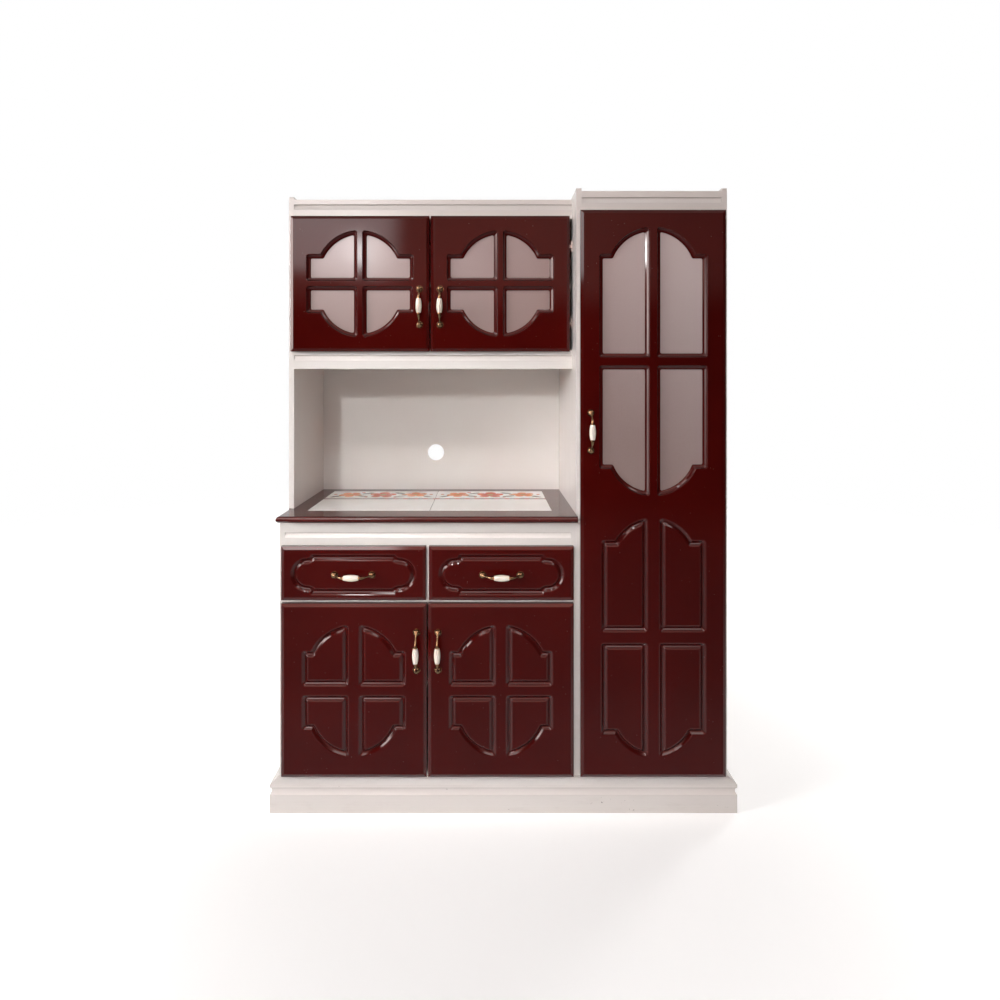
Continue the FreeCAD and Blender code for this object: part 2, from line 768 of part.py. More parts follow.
class Door:
    """A door's place: its edges, the carcass plane behind it, its hinge side, hinges and wall."""

    def __init__(self, name, x0, x1, z0, z1, plane, hinge_side, hinges, wall):
        self.name = name
        self.edges = (x0, x1, z0, z1)
        self.back = plane - door_gap
        self.face = self.back - door_thickness
        self.plane = plane
        self.hinge_side = hinge_side
        self.hinge_x = x0 if hinge_side > 0 else x1
        self.handle_x = x1 - handle_inset if hinge_side > 0 else x0 + handle_inset
        self.heights = hinge_heights(z0, z1, hinges)
        self.wall = wall
        self.middle = (x0 + x1) / 2

    def cup_bores(self):
        """Bores for the hinge cups in the door's back."""
        radius = cup_radius + cup_clearance
        x = self.hinge_x + self.hinge_side * cup_place
        depth = cup_depth + cup_clearance
        bore = out_cylinder(radius, 0, overrun, depth + overrun)
        return [placed(bore, x, self.back, z) for z in self.heights]

    def arms(self):
        """The arms of this door's hinges, on the carcass."""
        arm = handed(hinge_arm(self.wall), self.hinge_side)
        return [placed(arm, self.hinge_x, self.plane, z) for z in self.heights]

    def cups(self):
        """The cups of this door's hinges."""
        cup = handed(hinge_cup(), self.hinge_side)
        return [placed(cup, self.hinge_x, self.plane, z) for z in self.heights]


def routed_cuts(door, pattern, z):
    """The grooves of a routed pattern on a door, about a height."""
    groove = routed_groove(pattern.wire, door.face)
    return [placed(tool, door.middle, 0, z) for tool in four_ways(groove)]


def glass_corners(door, pattern, z, clearance):
    """Edges of the glass behind a pattern, or of its rebate."""
    half_width = pattern.half_width + glass_margin - clearance
    half_height = pattern.half_height + glass_margin - clearance
    return door.middle - half_width, door.middle + half_width, z - half_height, z + half_height


def glazed_cuts(door, pattern, z):
    """The glazed openings of a pattern on a door, and the rebate for the glass behind them."""
    tools = glazed_opening(pattern.wire, door.face, door.back)
    cuts = [placed(way, door.middle, 0, z) for tool in tools for way in four_ways(tool)]
    x0, x1, z0, z1 = glass_corners(door, pattern, z, 0)
    cuts.append(block(x0, x1, door.back - glass_rebate, door.back + overrun, z0, z1))
    return cuts


def make_glass(door, pattern, z):
    """The pane seated in its rebate."""
    x0, x1, z0, z1 = glass_corners(door, pattern, z, seat_clearance)
    front = door.back - glass_rebate
    save(door.name + "_glass", [block(x0, x1, front, front + glass_thickness, z0, z1)])


def make_door(door, cuts, handle_z):
    """A door's panel, hinge cups, handle and grip."""
    x0, x1, z0, z1 = door.edges
    panel = bevelled_board(x0, x1, z0, z1, door.face, door.back)
    save(door.name + "_panel", [cut_all(panel, cuts + door.cup_bores())])
    save(door.name + "_hinge_cups", door.cups())
    make_handle(door.name, door.handle_x, door.face, handle_z, True)


def make_doors():
    """All five doors, and the hinge arms that carry them."""
    far_left = x_left + door_reveal
    far_right = x_meet - door_reveal
    lefts = (far_left, far_left + pair_width)
    rights = (far_right - pair_width, far_right)
    half = pair_width / 2
    upper_pattern = Pattern(half - upper_pane_stile, upper_door_height / 2 - upper_pane_rail,
                            upper_pane_mullion, upper_pane_transom, upper_pane_shoulder, upper_pane_drop)
    base_pattern = Pattern(half - base_panel_stile, base_door_height / 2 - base_panel_rail,
                           base_panel_mullion, base_panel_transom, base_panel_shoulder, base_panel_drop)
    doors = []
    sides = (("left", lefts, 1, overlay), ("right", rights, -1, -door_reveal))
    for name, (x0, x1), hinge_side, upper_wall in sides:
        upper = Door("upper_" + name + "_door", x0, x1, upper_door_bottom, upper_door_top, y_upper,
                     hinge_side, pair_cup_count, upper_wall)
        middle = (upper_door_bottom + upper_door_top) / 2
        make_door(upper, glazed_cuts(upper, upper_pattern, middle), upper_door_bottom + upper_handle_rise)
        make_glass(upper, upper_pattern, middle)
        base = Door("base_" + name + "_door", x0, x1, door_bottom, door_top, y_front,
                    hinge_side, pair_cup_count, overlay)
        middle = (door_bottom + door_top) / 2
        make_door(base, routed_cuts(base, base_pattern, middle), door_top - base_handle_drop)
        doors += [upper, base]
    doors.append(make_tall_door())
    save("hinge_arms", [arm for door in doors for arm in door.arms()])


def make_tall_door():
    """The tall door, glazed above and routed below."""
    door = Door("tall_door", x_meet + door_reveal, x_right - door_reveal, door_bottom, tall_door_top,
                y_front, -1, tall_cup_count, overlay)
    half = tall_unit_width / 2 - door_reveal
    panes = Pattern(half - tall_pane_stile, tall_pane_half_height, tall_pane_mullion,
                    tall_pane_transom, tall_pane_shoulder, tall_pane_drop)
    pane_middle = tall_door_top - tall_top_margin - tall_pane_half_height
    panel_top = pane_middle - tall_pane_half_height - tall_group_gap
    panel_bottom = door_bottom + tall_bottom_margin
    panels = Pattern(half - tall_panel_stile, (panel_top - panel_bottom) / 2, tall_panel_mullion,
                     tall_panel_transom, tall_panel_shoulder, tall_panel_drop)
    cuts = glazed_cuts(door, panes, pane_middle)
    cuts += routed_cuts(door, panels, (panel_top + panel_bottom) / 2)
    make_door(door, cuts, door_bottom + tall_handle_rise)
    make_glass(door, panes, pane_middle)
    return door


def runner_heights():
    """Underside and top of the strips that the drawers run on."""
    bottom = deck_top + drawer_lift + runner_rise - runner_height / 2
    return bottom, bottom + runner_height


def runner_strip(face, inward):
    """A strip on one wall of a drawer bay, reaching into the groove of the drawer's side."""
    reach = drawer_side_clearance + runner_groove - seat_clearance
    x0, x1 = sorted((face, face + inward * reach))
    start = y_front + runner_setback
    return block(x0, x1, start, y_panel - runner_rear_gap, *runner_heights())


def drawer_side_board(outer, inward, front, z0):
    """One side of a drawer box, grooved outside for its strip and inside for the bottom."""
    inner = outer + inward * drawer_side
    x0, x1 = sorted((outer, inner))
    side = block(x0, x1, front, drawer_rear, z0, z0 + drawer_side_height)
    low, high = runner_heights()
    g0, g1 = sorted((outer - inward * overrun, outer + inward * runner_groove))
    groove_front = y_front + runner_setback - runner_stop
    groove = block(g0, g1, groove_front, drawer_rear + overrun, low - seat_clearance, high + seat_clearance)
    b0, b1 = sorted((inner - inward * drawer_bottom_groove, inner + inward * overrun))
    rise = z0 + drawer_bottom_rise
    slot = block(b0, b1, front - overrun, drawer_rear + overrun, rise, rise + drawer_bottom_thickness)
    return cut_all(side, [groove, slot])


def make_drawer(name, front_x0, front_x1, bay_left, bay_right):
    """A drawer: routed front, box, bottom, handle and grip."""
    back = y_front - door_gap
    face = back - door_thickness
    middle_x = (front_x0 + front_x1) / 2
    middle_z = (drawer_bottom_edge + drawer_top_edge) / 2 - plaque_drop
    front = bevelled_board(front_x0, front_x1, drawer_bottom_edge, drawer_top_edge, face, back)
    groove = placed(routed_groove(plaque_wire, face), middle_x, 0, middle_z)
    save(name + "_front", [front.cut(groove)])
    z0 = deck_top + drawer_lift
    left = bay_left + drawer_side_clearance
    right = bay_right - drawer_side_clearance
    sides = [drawer_side_board(left, 1, back, z0), drawer_side_board(right, -1, back, z0)]
    rise = z0 + drawer_bottom_rise
    end = block(left + drawer_side, right - drawer_side, drawer_rear - drawer_side, drawer_rear,
                rise + drawer_bottom_thickness, z0 + drawer_side_height)
    save(name + "_box", sides + [end])
    inset = drawer_side - drawer_bottom_groove + seat_clearance
    save(name + "_bottom", [block(left + inset, right - inset, back, drawer_rear,
                                  rise, rise + drawer_bottom_thickness)])
    make_handle(name, middle_x, face, middle_z, False)


def make_drawers():
    """Both drawers, and the strips on the walls of their bays."""
    far_left = x_left + door_reveal
    far_right = x_meet - door_reveal
    inner_left = x_left + board
    inner_right = x_meet - board
    divider_left = x_left_middle - board / 2
    divider_right = x_left_middle + board / 2
    make_drawer("left_drawer", far_left, x_left_middle - drawer_gap / 2, inner_left, divider_left)
    make_drawer("right_drawer", x_left_middle + drawer_gap / 2, far_right, divider_right, inner_right)
    walls = ((inner_left, 1), (divider_left, -1), (divider_right, 1), (inner_right, -1))
    save("drawer_runners", [runner_strip(face, inward) for face, inward in walls])


def main():
    """Build every piece and write it out."""
    os.makedirs("parts", exist_ok=True)
    make_plinth()
    make_base()
    make_worktop()
    make_tiles()
    make_upper()
    make_tall()
    make_shelves()
    make_doors()
    make_drawers()


main()
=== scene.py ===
"""Looks of a kitchen cupboard: lacquered fronts, white carcass, printed tiles, glass and fittings."""

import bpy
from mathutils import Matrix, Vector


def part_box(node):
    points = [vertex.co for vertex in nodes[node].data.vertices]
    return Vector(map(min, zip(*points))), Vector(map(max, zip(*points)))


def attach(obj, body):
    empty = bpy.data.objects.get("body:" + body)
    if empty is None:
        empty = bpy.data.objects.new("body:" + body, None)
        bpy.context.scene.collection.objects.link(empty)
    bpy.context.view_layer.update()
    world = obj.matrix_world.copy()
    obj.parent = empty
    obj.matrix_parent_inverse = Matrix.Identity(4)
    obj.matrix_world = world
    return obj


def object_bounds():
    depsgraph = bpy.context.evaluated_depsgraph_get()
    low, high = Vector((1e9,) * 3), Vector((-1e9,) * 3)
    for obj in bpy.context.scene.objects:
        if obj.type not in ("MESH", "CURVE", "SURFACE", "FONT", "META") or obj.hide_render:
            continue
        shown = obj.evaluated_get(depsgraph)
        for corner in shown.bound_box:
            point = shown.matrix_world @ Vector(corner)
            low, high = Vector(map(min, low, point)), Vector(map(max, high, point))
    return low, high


bl_info = {
    "name": "Kitchen Cupboard Looks",
    "version": (1, 0, 0),
    "blender": (4, 5, 0),
    "location": "3D View > Sidebar > Cupboard",
    "description": "Dresses a packed kitchen cupboard with finishes, fittings and a plain stage",
    "category": "Object",
}

import math
import random

import bmesh
import bpy
from mathutils import Matrix, Vector

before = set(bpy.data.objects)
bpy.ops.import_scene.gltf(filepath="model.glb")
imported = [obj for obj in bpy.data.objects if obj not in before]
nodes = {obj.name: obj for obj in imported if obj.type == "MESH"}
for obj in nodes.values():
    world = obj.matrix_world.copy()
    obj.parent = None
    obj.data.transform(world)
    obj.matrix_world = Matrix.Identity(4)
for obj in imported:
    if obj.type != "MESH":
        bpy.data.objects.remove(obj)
cad_low, cad_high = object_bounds()

# Groups of nodes that share a finish or a way of being dressed
glazed_doors = ("upper_left_door", "upper_right_door", "tall_door")
doors = glazed_doors + ("base_left_door", "base_right_door")
drawers = ("left_drawer", "right_drawer")
upright_boards = ("base_left_side", "base_right_side", "base_divider", "upper_left_side",
                  "tall_left_side", "tall_right_side")
level_boards = ("base_bottom", "base_deck", "upper_top", "upper_bottom", "tall_top", "tall_bottom",
                "shelves", "base_top_rail", "upper_mid_rail", "upper_top_rail", "tall_top_rail")
plinth_boards = ("plinth_front", "plinth_returns")
back_panels = ("base_back", "upper_back", "tall_back")

# The board that carries each door's hinge plates, and the way the plates face along X
plate_boards = {
    "upper_left_door": ("upper_left_side", 1), "base_left_door": ("base_left_side", 1),
    "upper_right_door": ("tall_left_side", -1), "base_right_door": ("base_right_side", -1),
    "tall_door": ("tall_right_side", -1),
}

# Counts, shares and a direction that shape the screws and the beads of silicone
screw_segments = 32
screw_ring_shares = (0.16, 0.34, 0.52, 0.6, 0.8, 0.93, 1.0)
cross_reach_share = 0.58
dome_share = 0.92
backwards = (0.0, 1.0, 0.0)
tall_door_hinges, other_door_hinges = 4, 2
bead_stations = 28
bead_rounds = 6
bead_width_shares, bead_depth_shares = (0.88, 1.12), (0.9, 1.0)

# Stretch of the embossed grain that runs along each axis
along_x, along_y, along_z = (0.05, 1.0, 1.0), (1.0, 0.05, 1.0), (1.0, 1.0, 0.05)

# Colours that no user would change
white = (1.0, 1.0, 1.0)
dust_color = (0.5, 0.42, 0.4)
worktop_dust_color = (0.45, 0.38, 0.36)
chip_colors = (0.20, 0.115, 0.055), (0.46, 0.31, 0.17)
fibre_colors = (0.13, 0.068, 0.032), (0.34, 0.205, 0.11)
fibre_blotch_color = (0.25, 0.15, 0.085)

# The floor: how it fades out, as shares of its radius, and where it whitens and shows in mirrors, in metres
floor_fade_shares = (0.45, 0.95)
floor_white_reaches = (0.7, 2.2)
floor_mirror_places = (-1.1, -0.5)
floor_segments = 96
floor_gap = 0.0005

# Width of the camera's sensor, in millimetres
sensor_width = 36.0

# What mirrors show of the room before the cupboard, where a colour over one is a lamp or a window
wall_left_color, wall_right_color = (3.0, 1.5, 1.25), (1.6, 0.8, 0.7)
wall_foot_color, room_side_color = (0.05, 0.042, 0.04), (0.06, 0.052, 0.05)
slit_low_color, slit_high_color = (5.0, 4.7, 4.5), (13.0, 11.3, 10.8)
ceiling_color, lamp_row_color = (0.8, 0.6, 0.55), (5.0, 4.1, 3.9)

# Where that room changes, as the first and last share of a direction's X, Y or Z
backdrop_y_shares = (0.15, 0.55)
wall_foot_z_shares, wall_turn_x_shares = (0.11, 0.17), (0.08, 0.36)
room_side_x_shares = (0.35, 0.6)
slit_inner_x_shares, slit_outer_x_shares, slit_z_shares = (-0.78, -0.84), (-0.96, -0.91), (-0.05, 0.12)
ceiling_z_shares = (0.5, 0.85)
lamp_row_foot_z_shares, lamp_row_top_z_shares = (0.6, 0.65), (0.76, 0.7)

# Places that the lamps are turned to
middle_place = (0.0, 0.0, 0.75)
front_place = (-0.2, 0.0, 0.7)
worktop_place = (-0.2, -0.1, 0.9)
upper_door_place = (-0.45, 0.0, 1.6)

# Lamps that light the cupboard: place, aim, width, height and spread in degrees
lit_lamps = {
    "key": ((-2.34, -9.0, 3.8), front_place, 0.9, 0.9, 30.0),
    "side": ((-4.5, -1.8, 1.9), middle_place, 1.5, 1.5, 70.0),
    "front": ((-0.5, -2.6, 0.9), worktop_place, 1.8, 0.9, 110.0),
    "ceiling": ((-0.25, -2.6, 3.4), worktop_place, 1.0, 0.6, 28.0),
    "rear": ((3.6, 2.6, 2.2), middle_place, 1.5, 1.5, 70.0),
}

# Lamps that only mirrors show: the same, and the window's reach at full strength, as a share of a side
mirrored_lamps = {
    "window": ((-1.5, -3.62, 2.68), upper_door_place, 1.5, 0.9, 60.0, 0.33),
    "glint": ((-2.34, -9.0, 3.68), upper_door_place, 0.7, 0.7, 180.0),
    "tube": ((-0.8, -1.7, 3.3), worktop_place, 1.2, 0.16, 180.0),
}


# Wiring of shader nodes

class Wiring:
    """Adds nodes to one tree, with sockets set to values or linked."""

    def __init__(self, tree):
        self.tree = tree

    def add(self, kind, values=None, **settings):
        """One node, its settings, and its sockets by name or number."""
        node = self.tree.nodes.new("ShaderNode" + kind)
        for key, value in settings.items():
            setattr(node, key, value)
        for key, value in (values or {}).items():
            self.put(node.inputs[key], value)
        return node

    def put(self, socket, value):
        """Set a socket, or link it when the value is another socket. A colour is three numbers."""
        if isinstance(value, bpy.types.NodeSocket):
            self.tree.links.new(value, socket)
        elif socket.type == "RGBA":
            socket.default_value = (*value, 1.0)
        else:
            socket.default_value = value

    def math(self, operation, first, second=0.0, third=0.0):
        """The result of a sum on values or sockets."""
        return self.add("Math", {0: first, 1: second, 2: third}, operation=operation).outputs[0]

    def times(self, first, second):
        """The product of two values or sockets."""
        return self.math("MULTIPLY", first, second)

    def vector(self, operation, first, second):
        """The result of a sum on two places or directions."""
        return self.add("VectorMath", {0: first, 1: second}, operation=operation).outputs["Vector"]

    def length(self, vector):
        """How far a place lies from the origin."""
        return self.add("VectorMath", {0: vector}, operation="LENGTH").outputs["Value"]

    def parts(self, vector):
        """The three numbers of a place or a direction."""
        return self.add("SeparateXYZ", {0: vector}).outputs

    def mix(self, share, first, second):
        """A colour between two colours."""
        return self.add("Mix", {0: share, 6: first, 7: second}, data_type="RGBA").outputs[2]

    def tint(self, mask, strength, first, second):
        """A colour with another laid over it where a mask says, at a strength."""
        return self.mix(self.times(mask, strength), first, second)

    def blend(self, share, first, second):
        """A number between two numbers."""
        return self.add("Mix", {0: share, 2: first, 3: second}, data_type="FLOAT").outputs[0]

    def fade(self, value, low, high):
        """A smooth step from nothing at one value to one at another."""
        values = {"Value": value, "From Min": low, "From Max": high}
        return self.add("MapRange", values, interpolation_type="SMOOTHSTEP").outputs["Result"]

    def place(self, scale=(1.0, 1.0, 1.0)):
        """The place on the piece, in metres, stretched by a scale for each axis."""
        spot = self.add("TexCoord").outputs["Object"]
        return self.add("Mapping", {"Vector": spot, "Scale": scale}).outputs["Vector"]

    def noise(self, place, scale, detail=3.0, roughness=0.5):
        """Soft random values over a place."""
        values = {"Vector": place, "Scale": scale, "Detail": detail, "Roughness": roughness}
        return self.add("TexNoise", values).outputs["Fac"]

    def facing(self):
        """The piece's own direction at a point, as three numbers."""
        return self.parts(self.add("TexCoord").outputs["Normal"])

    def sharp_rays(self):
        """The kinds of ray that arrive, and a mask of those that a mirror or clear glass sends."""
        path = self.add("LightPath").outputs
        return path, self.math("MAXIMUM", path["Is Glossy Ray"], path["Is Transmission Ray"])

    def bump(self, height, strength, distance, normal=None):
        """A bumped normal from a height."""
        values = {"Height": height, "Strength": strength, "Distance": distance}
        if normal is not None:
            values["Normal"] = normal
        return self.add("Bump", values).outputs["Normal"]

    def group(self, build, **values):
        """The results of a shared node group with this material's values."""
        node = self.tree.nodes.new("ShaderNodeGroup")
        node.node_tree = build()
        for key, value in values.items():
            self.put(node.inputs[key.replace("_", " ")], value)
        return node.outputs


class Finish(Wiring):
    """A new material's wiring, with the plain sockets of its shader set directly."""

    def __init__(self, name, **plain):
        self.material = bpy.data.materials.new(name)
        self.material.use_nodes = True
        super().__init__(self.material.node_tree)
        self.wire(**plain)

    def wire(self, **values):
        """Set or link the shader's sockets by their names, and hand the material back."""
        shader = self.tree.nodes["Principled BSDF"]
        for label, value in values.items():
            self.put(shader.inputs[label.replace("_", " ")], value)
        return self.material


def open_group(name, **inputs):
    """An empty node group with named inputs, as the wiring to fill it and what it is given."""
    tree = bpy.data.node_groups.new(name, "ShaderNodeTree")
    for label, default in inputs.items():
        kind = "NodeSocketVector" if isinstance(default, tuple) else "NodeSocketFloat"
        socket = tree.interface.new_socket(name=label.replace("_", " "), in_out="INPUT", socket_type=kind)
        socket.default_value = default
    return Wiring(tree), tree.nodes.new("NodeGroupInput").outputs


def close_group(net, **results):
    """Link the results to a group's outputs and hand the group back."""
    tree = net.tree
    kinds = {"VALUE": "NodeSocketFloat", "RGBA": "NodeSocketColor", "VECTOR": "NodeSocketVector"}
    for label, value in results.items():
        tree.interface.new_socket(name=label, in_out="OUTPUT", socket_type=kinds[value.type])
    end = tree.nodes.new("NodeGroupOutput")
    for label, value in results.items():
        tree.links.new(value, end.inputs[label])
    return tree


def shared(build):
    """A way to get a node group that is built once, under its function's name, and found again."""
    def find():
        return bpy.data.node_groups.get(build.__name__) or build(build.__name__)
    return find


# Effects that several finishes share

@shared
def coat_unevenness(name):
    """Soft patches, a fine ripple and sparse dust specks on a coated surface."""
    net, given = open_group(name, Patch_Scale=6.0, Ripple_Scale=260.0, Speck_Scale=90.0)
    place = net.place()
    patch = net.fade(net.noise(place, given["Patch Scale"], 4.0), 0.3, 0.7)
    ripple = net.noise(place, given["Ripple Scale"], 2.0)
    cells = net.add("TexVoronoi", {"Vector": place, "Scale": given["Speck Scale"]})
    near = net.fade(cells.outputs["Distance"], 0.11, 0.05)
    chosen = net.math("GREATER_THAN", net.noise(place, given["Speck Scale"], 0.0), 0.66)
    return close_group(net, Patch=patch, Ripple=ripple, Speck=net.times(near, chosen))


@shared
def soft_edge(name):
    """Rounded normals along sharp edges, and a mask of those edges."""
    net, given = open_group(name, Radius=0.0012)
    rounded = net.add("Bevel", {"Radius": given["Radius"]}, samples=4).outputs["Normal"]
    true = net.add("NewGeometry").outputs["Normal"]
    alike = net.add("VectorMath", {0: rounded, 1: true}, operation="DOT_PRODUCT").outputs["Value"]
    return close_group(net, Normal=rounded, Edge=net.fade(alike, 0.995, 0.85))


@shared
def rear_mask(name):
    """A mask of the faces that look to the back of the cupboard."""
    net = open_group(name)[0]
    return close_group(net, Rear=net.math("GREATER_THAN", net.facing()["Y"], 0.7))


@shared
def embossed_grain(name):
    """Fine embossed grain along one axis, as a height and as streaks."""
    net, given = open_group(name, Along=(1.0, 1.0, 1.0), Scale=60.0)
    place = net.vector("MULTIPLY", net.add("TexCoord").outputs["Object"], given["Along"])
    fine = net.noise(place, given["Scale"], 5.0, 0.65)
    broad = net.noise(place, net.times(given["Scale"], 0.22), 3.0)
    return close_group(net, Height=fine, Streak=net.fade(net.math("ADD", fine, broad), 0.8, 1.25))


@shared
def raw_chipboard(name):
    """Pressed chips, as on a raw sawn edge."""
    net = open_group(name)[0]
    place = net.place((420.0, 420.0, 900.0))
    cells = net.add("TexVoronoi", {"Vector": place, "Scale": 1.0}).outputs
    tone = net.add("SeparateColor", {0: cells["Color"]}).outputs[0]
    return close_group(net, Color=net.mix(tone, *chip_colors), Height=cells["Distance"])


@shared
def floor_scuffs(name):
    """Small chips and rubbed marks that gather towards the floor."""
    net, given = open_group(name, Floor_Reach=0.1)
    height = net.parts(net.place())["Z"]
    low = net.fade(net.math("DIVIDE", height, given["Floor Reach"]), 1.0, 0.0)
    spots = net.noise(net.place((1.0, 1.0, 1.6)), 85.0, 2.0)
    sparse = net.noise(net.place(), 9.0, 1.0)
    chance = net.times(net.fade(sparse, 0.52, 0.7), net.math("ADD", low, 0.25))
    smear = net.noise(net.place((0.6, 0.6, 3.0)), 22.0, 4.0, 0.6)
    return close_group(net, Chip=net.times(net.fade(spots, 0.71, 0.75), chance),
                       Rub=net.times(net.fade(smear, 0.52, 0.74), low))


@shared
def hollows(name):
    """A mask of the grooves and inner corners of a piece, where shade is painted."""
    net, given = open_group(name, Distance=0.006)
    occlusion = net.add("AmbientOcclusion", {"Distance": given["Distance"]}, samples=6, only_local=True)
    return close_group(net, Hollow=net.fade(occlusion.outputs["AO"], 0.97, 0.5))


@shared
def printed_oval(name):
    """One printed oval at a centre, with a size and a turn: its mask and how far out a point lies in it."""
    net, given = open_group(name, Place=(0.0, 0.0, 0.0), Centre=(0.0, 0.0, 0.0),
                            Size=(1.0, 1.0, 1.0), Turn=0.0)
    turn = {"Vector": net.vector("SUBTRACT", given["Place"], given["Centre"]), "Angle": given["Turn"]}
    turned = net.add("VectorRotate", turn, rotation_type="Z_AXIS").outputs[0]
    reach = net.length(net.vector("DIVIDE", turned, given["Size"]))
    return close_group(net, Mask=net.fade(reach, 1.0, 0.9), Reach=reach)


@shared
def printed_flower(name):
    """One printed flower of five petals: its mask, heart and veins, and how far out a point lies in it."""
    net, given = open_group(name, Place=(0.0, 0.0, 0.0), Centre=(0.0, 0.0, 0.0), Radius=1.0, Turn=0.0)
    moved = net.vector("SUBTRACT", given["Place"], given["Centre"])
    spot = net.parts(moved)
    around = net.math("ADD", net.math("ARCTAN2", spot["Y"], spot["X"]), given["Turn"])
    far = net.math("DIVIDE", net.length(moved), given["Radius"])
    lobes = net.math("ABSOLUTE", net.math("COSINE", net.times(around, 2.5)))
    outline = net.math("MULTIPLY_ADD", net.math("POWER", lobes, 0.6), 0.42, 0.58)
    reach = net.math("DIVIDE", far, outline)
    vein = net.fade(net.math("COSINE", net.times(around, 35.0)), 0.2, 0.9)
    return close_group(net, Mask=net.fade(reach, 1.0, 0.94), Heart=net.fade(far, 0.25, 0.2),
                       Reach=reach, Vein=vein)


# Finishes

def lacquer_finish(props):
    """High-gloss maroon skin on the fronts, with the white face of the board behind, painted shade in its
    grooves and a painted highlight along its edges.
    """
    net = Finish("maroon_lacquer", Specular_IOR_Level=props.gloss, Coat_Roughness=0.03)
    coat = net.group(coat_unevenness, Patch_Scale=4.0, Ripple_Scale=190.0)
    edge = net.group(soft_edge, Radius=props.edge_round)
    groove_shade = net.group(hollows, Distance=0.008)["Hollow"]
    rear = net.group(rear_mask)["Rear"]
    red = net.mix(coat["Patch"], props.deep_color, props.color)
    # Painted highlight: a lighter red along the edges.
    wear_and_edge_highlight = net.tint(edge["Edge"], 0.22, red, props.edge_color)
    # Painted shade: near black in the grooves and inner corners.
    groove_shaded = net.tint(groove_shade, 0.85, wear_and_edge_highlight, props.hollow_color)
    dusty = net.tint(coat["Speck"], 0.25, groove_shaded, dust_color)
    flat = net.fade(net.math("ABSOLUTE", net.facing()["Y"]), 0.93, 0.995)
    clear = net.blend(flat, props.moulding_coat, props.flat_coat)
    sheen = net.blend(coat["Patch"], props.roughness, props.roughness * 1.6)
    return net.wire(Base_Color=net.mix(rear, dusty, props.back_color),
                    Coat_Weight=net.times(clear, net.math("SUBTRACT", 1.0, rear)),
                    Roughness=net.blend(rear, sheen, 0.38),
                    Normal=net.bump(coat["Ripple"], 0.05, 0.0006, edge["Normal"]))


def worktop_finish(props):
    """The worktop's gloss laminate, a little browner, with a painted highlight along its moulded edge."""
    net = Finish("maroon_worktop", Specular_IOR_Level=props.worktop_gloss)
    coat = net.group(coat_unevenness, Patch_Scale=5.0, Ripple_Scale=140.0, Speck_Scale=70.0)
    edge = net.group(soft_edge, Radius=props.edge_round)
    rear = net.group(rear_mask)["Rear"]
    red = net.mix(coat["Patch"], props.deep_color, props.worktop_color)
    # Painted highlight: a lighter red along the edges.
    wear_and_edge_highlight = net.tint(edge["Edge"], 0.4, red, props.edge_color)
    dusty = net.tint(coat["Speck"], 0.3, wear_and_edge_highlight, worktop_dust_color)
    return net.wire(Base_Color=net.mix(rear, dusty, net.group(raw_chipboard)["Color"]),
                    Roughness=net.blend(rear, net.blend(coat["Patch"], 0.07, 0.13), 0.8),
                    Normal=net.bump(coat["Ripple"], 0.06, 0.0005, edge["Normal"]))


def white_finish(name, props, along):
    """Semi-gloss white foil on board, embossed along the board, with raw chips on the sawn rear edge, a
    painted highlight along its edges and painted shade in its grooves.
    """
    net = Finish(name, Specular_IOR_Level=props.gloss)
    coat = net.group(coat_unevenness, Patch_Scale=3.0, Ripple_Scale=420.0, Speck_Scale=45.0)
    lines = net.group(embossed_grain, Along=along, Scale=160.0)
    edge = net.group(soft_edge, Radius=props.edge_round)
    marks = net.group(floor_scuffs, Floor_Reach=props.scuff_height)
    groove_shade = net.group(hollows, Distance=0.006)["Hollow"]
    rear = net.group(rear_mask)["Rear"]
    raw = net.group(raw_chipboard)
    tone = net.mix(coat["Patch"], props.shade_color, props.color)
    streaked = net.tint(lines["Streak"], 0.015, tone, props.grain_color)
    # Painted highlight: a lighter white along the edges.
    edge_highlit = net.tint(edge["Edge"], 0.3, streaked, props.edge_color)
    # Painted shade: darker in the grooves and inner corners.
    corner_shaded = net.tint(groove_shade, 0.6, edge_highlit, props.hollow_color)
    rubbed = net.tint(marks["Rub"], 0.1, corner_shaded, props.rub_color)
    chipped = net.mix(marks["Chip"], rubbed, props.chip_color)
    sheen = net.blend(lines["Streak"], props.roughness, props.roughness * 1.12)
    relief = net.blend(rear, coat["Ripple"], raw["Height"])
    return net.wire(Base_Color=net.mix(rear, chipped, raw["Color"]),
                    Roughness=net.blend(rear, sheen, 0.85),
                    Normal=net.bump(relief, 0.05, 0.0003, edge["Normal"]))


def hardboard_finish(props):
    """Back panels: smooth white paint inside, brown screen-pressed fibre outside."""
    net = Finish("white_hardboard", Specular_IOR_Level=props.gloss)
    coat = net.group(coat_unevenness, Patch_Scale=2.2, Ripple_Scale=240.0, Speck_Scale=30.0)
    rear = net.group(rear_mask)["Rear"]
    brown = net.mix(net.noise(net.place(), 420.0, 4.0, 0.7), *fibre_colors)
    blotched = net.tint(coat["Patch"], 0.4, brown, fibre_blotch_color)
    paint = net.mix(coat["Patch"], props.shade_color, props.back_color)
    waves = {"Vector": net.place(), "Scale": 260.0, "Distortion": 0.0}
    across = net.add("TexWave", waves, bands_direction="X").outputs["Fac"]
    upright = net.add("TexWave", waves, bands_direction="Z").outputs["Fac"]
    relief = net.blend(rear, coat["Ripple"], net.times(across, upright))
    return net.wire(Base_Color=net.mix(rear, paint, blotched),
                    Roughness=net.blend(rear, net.blend(coat["Patch"], 0.3, 0.38), 0.8),
                    Normal=net.bump(relief, 0.15, 0.0003))


def print_ovals(net, under, place, rows, inner, outer):
    """Printed ovals of one colour over what is already printed, each by its place, size and turn."""
    for x, y, width, height, turn in rows:
        values = {"Centre": (x, y, 0.0), "Size": (width, height, 1.0), "Turn": turn}
        oval = net.group(printed_oval, Place=place, **values)
        under = net.mix(oval["Mask"], under, net.mix(oval["Reach"], inner, outer))
    return under


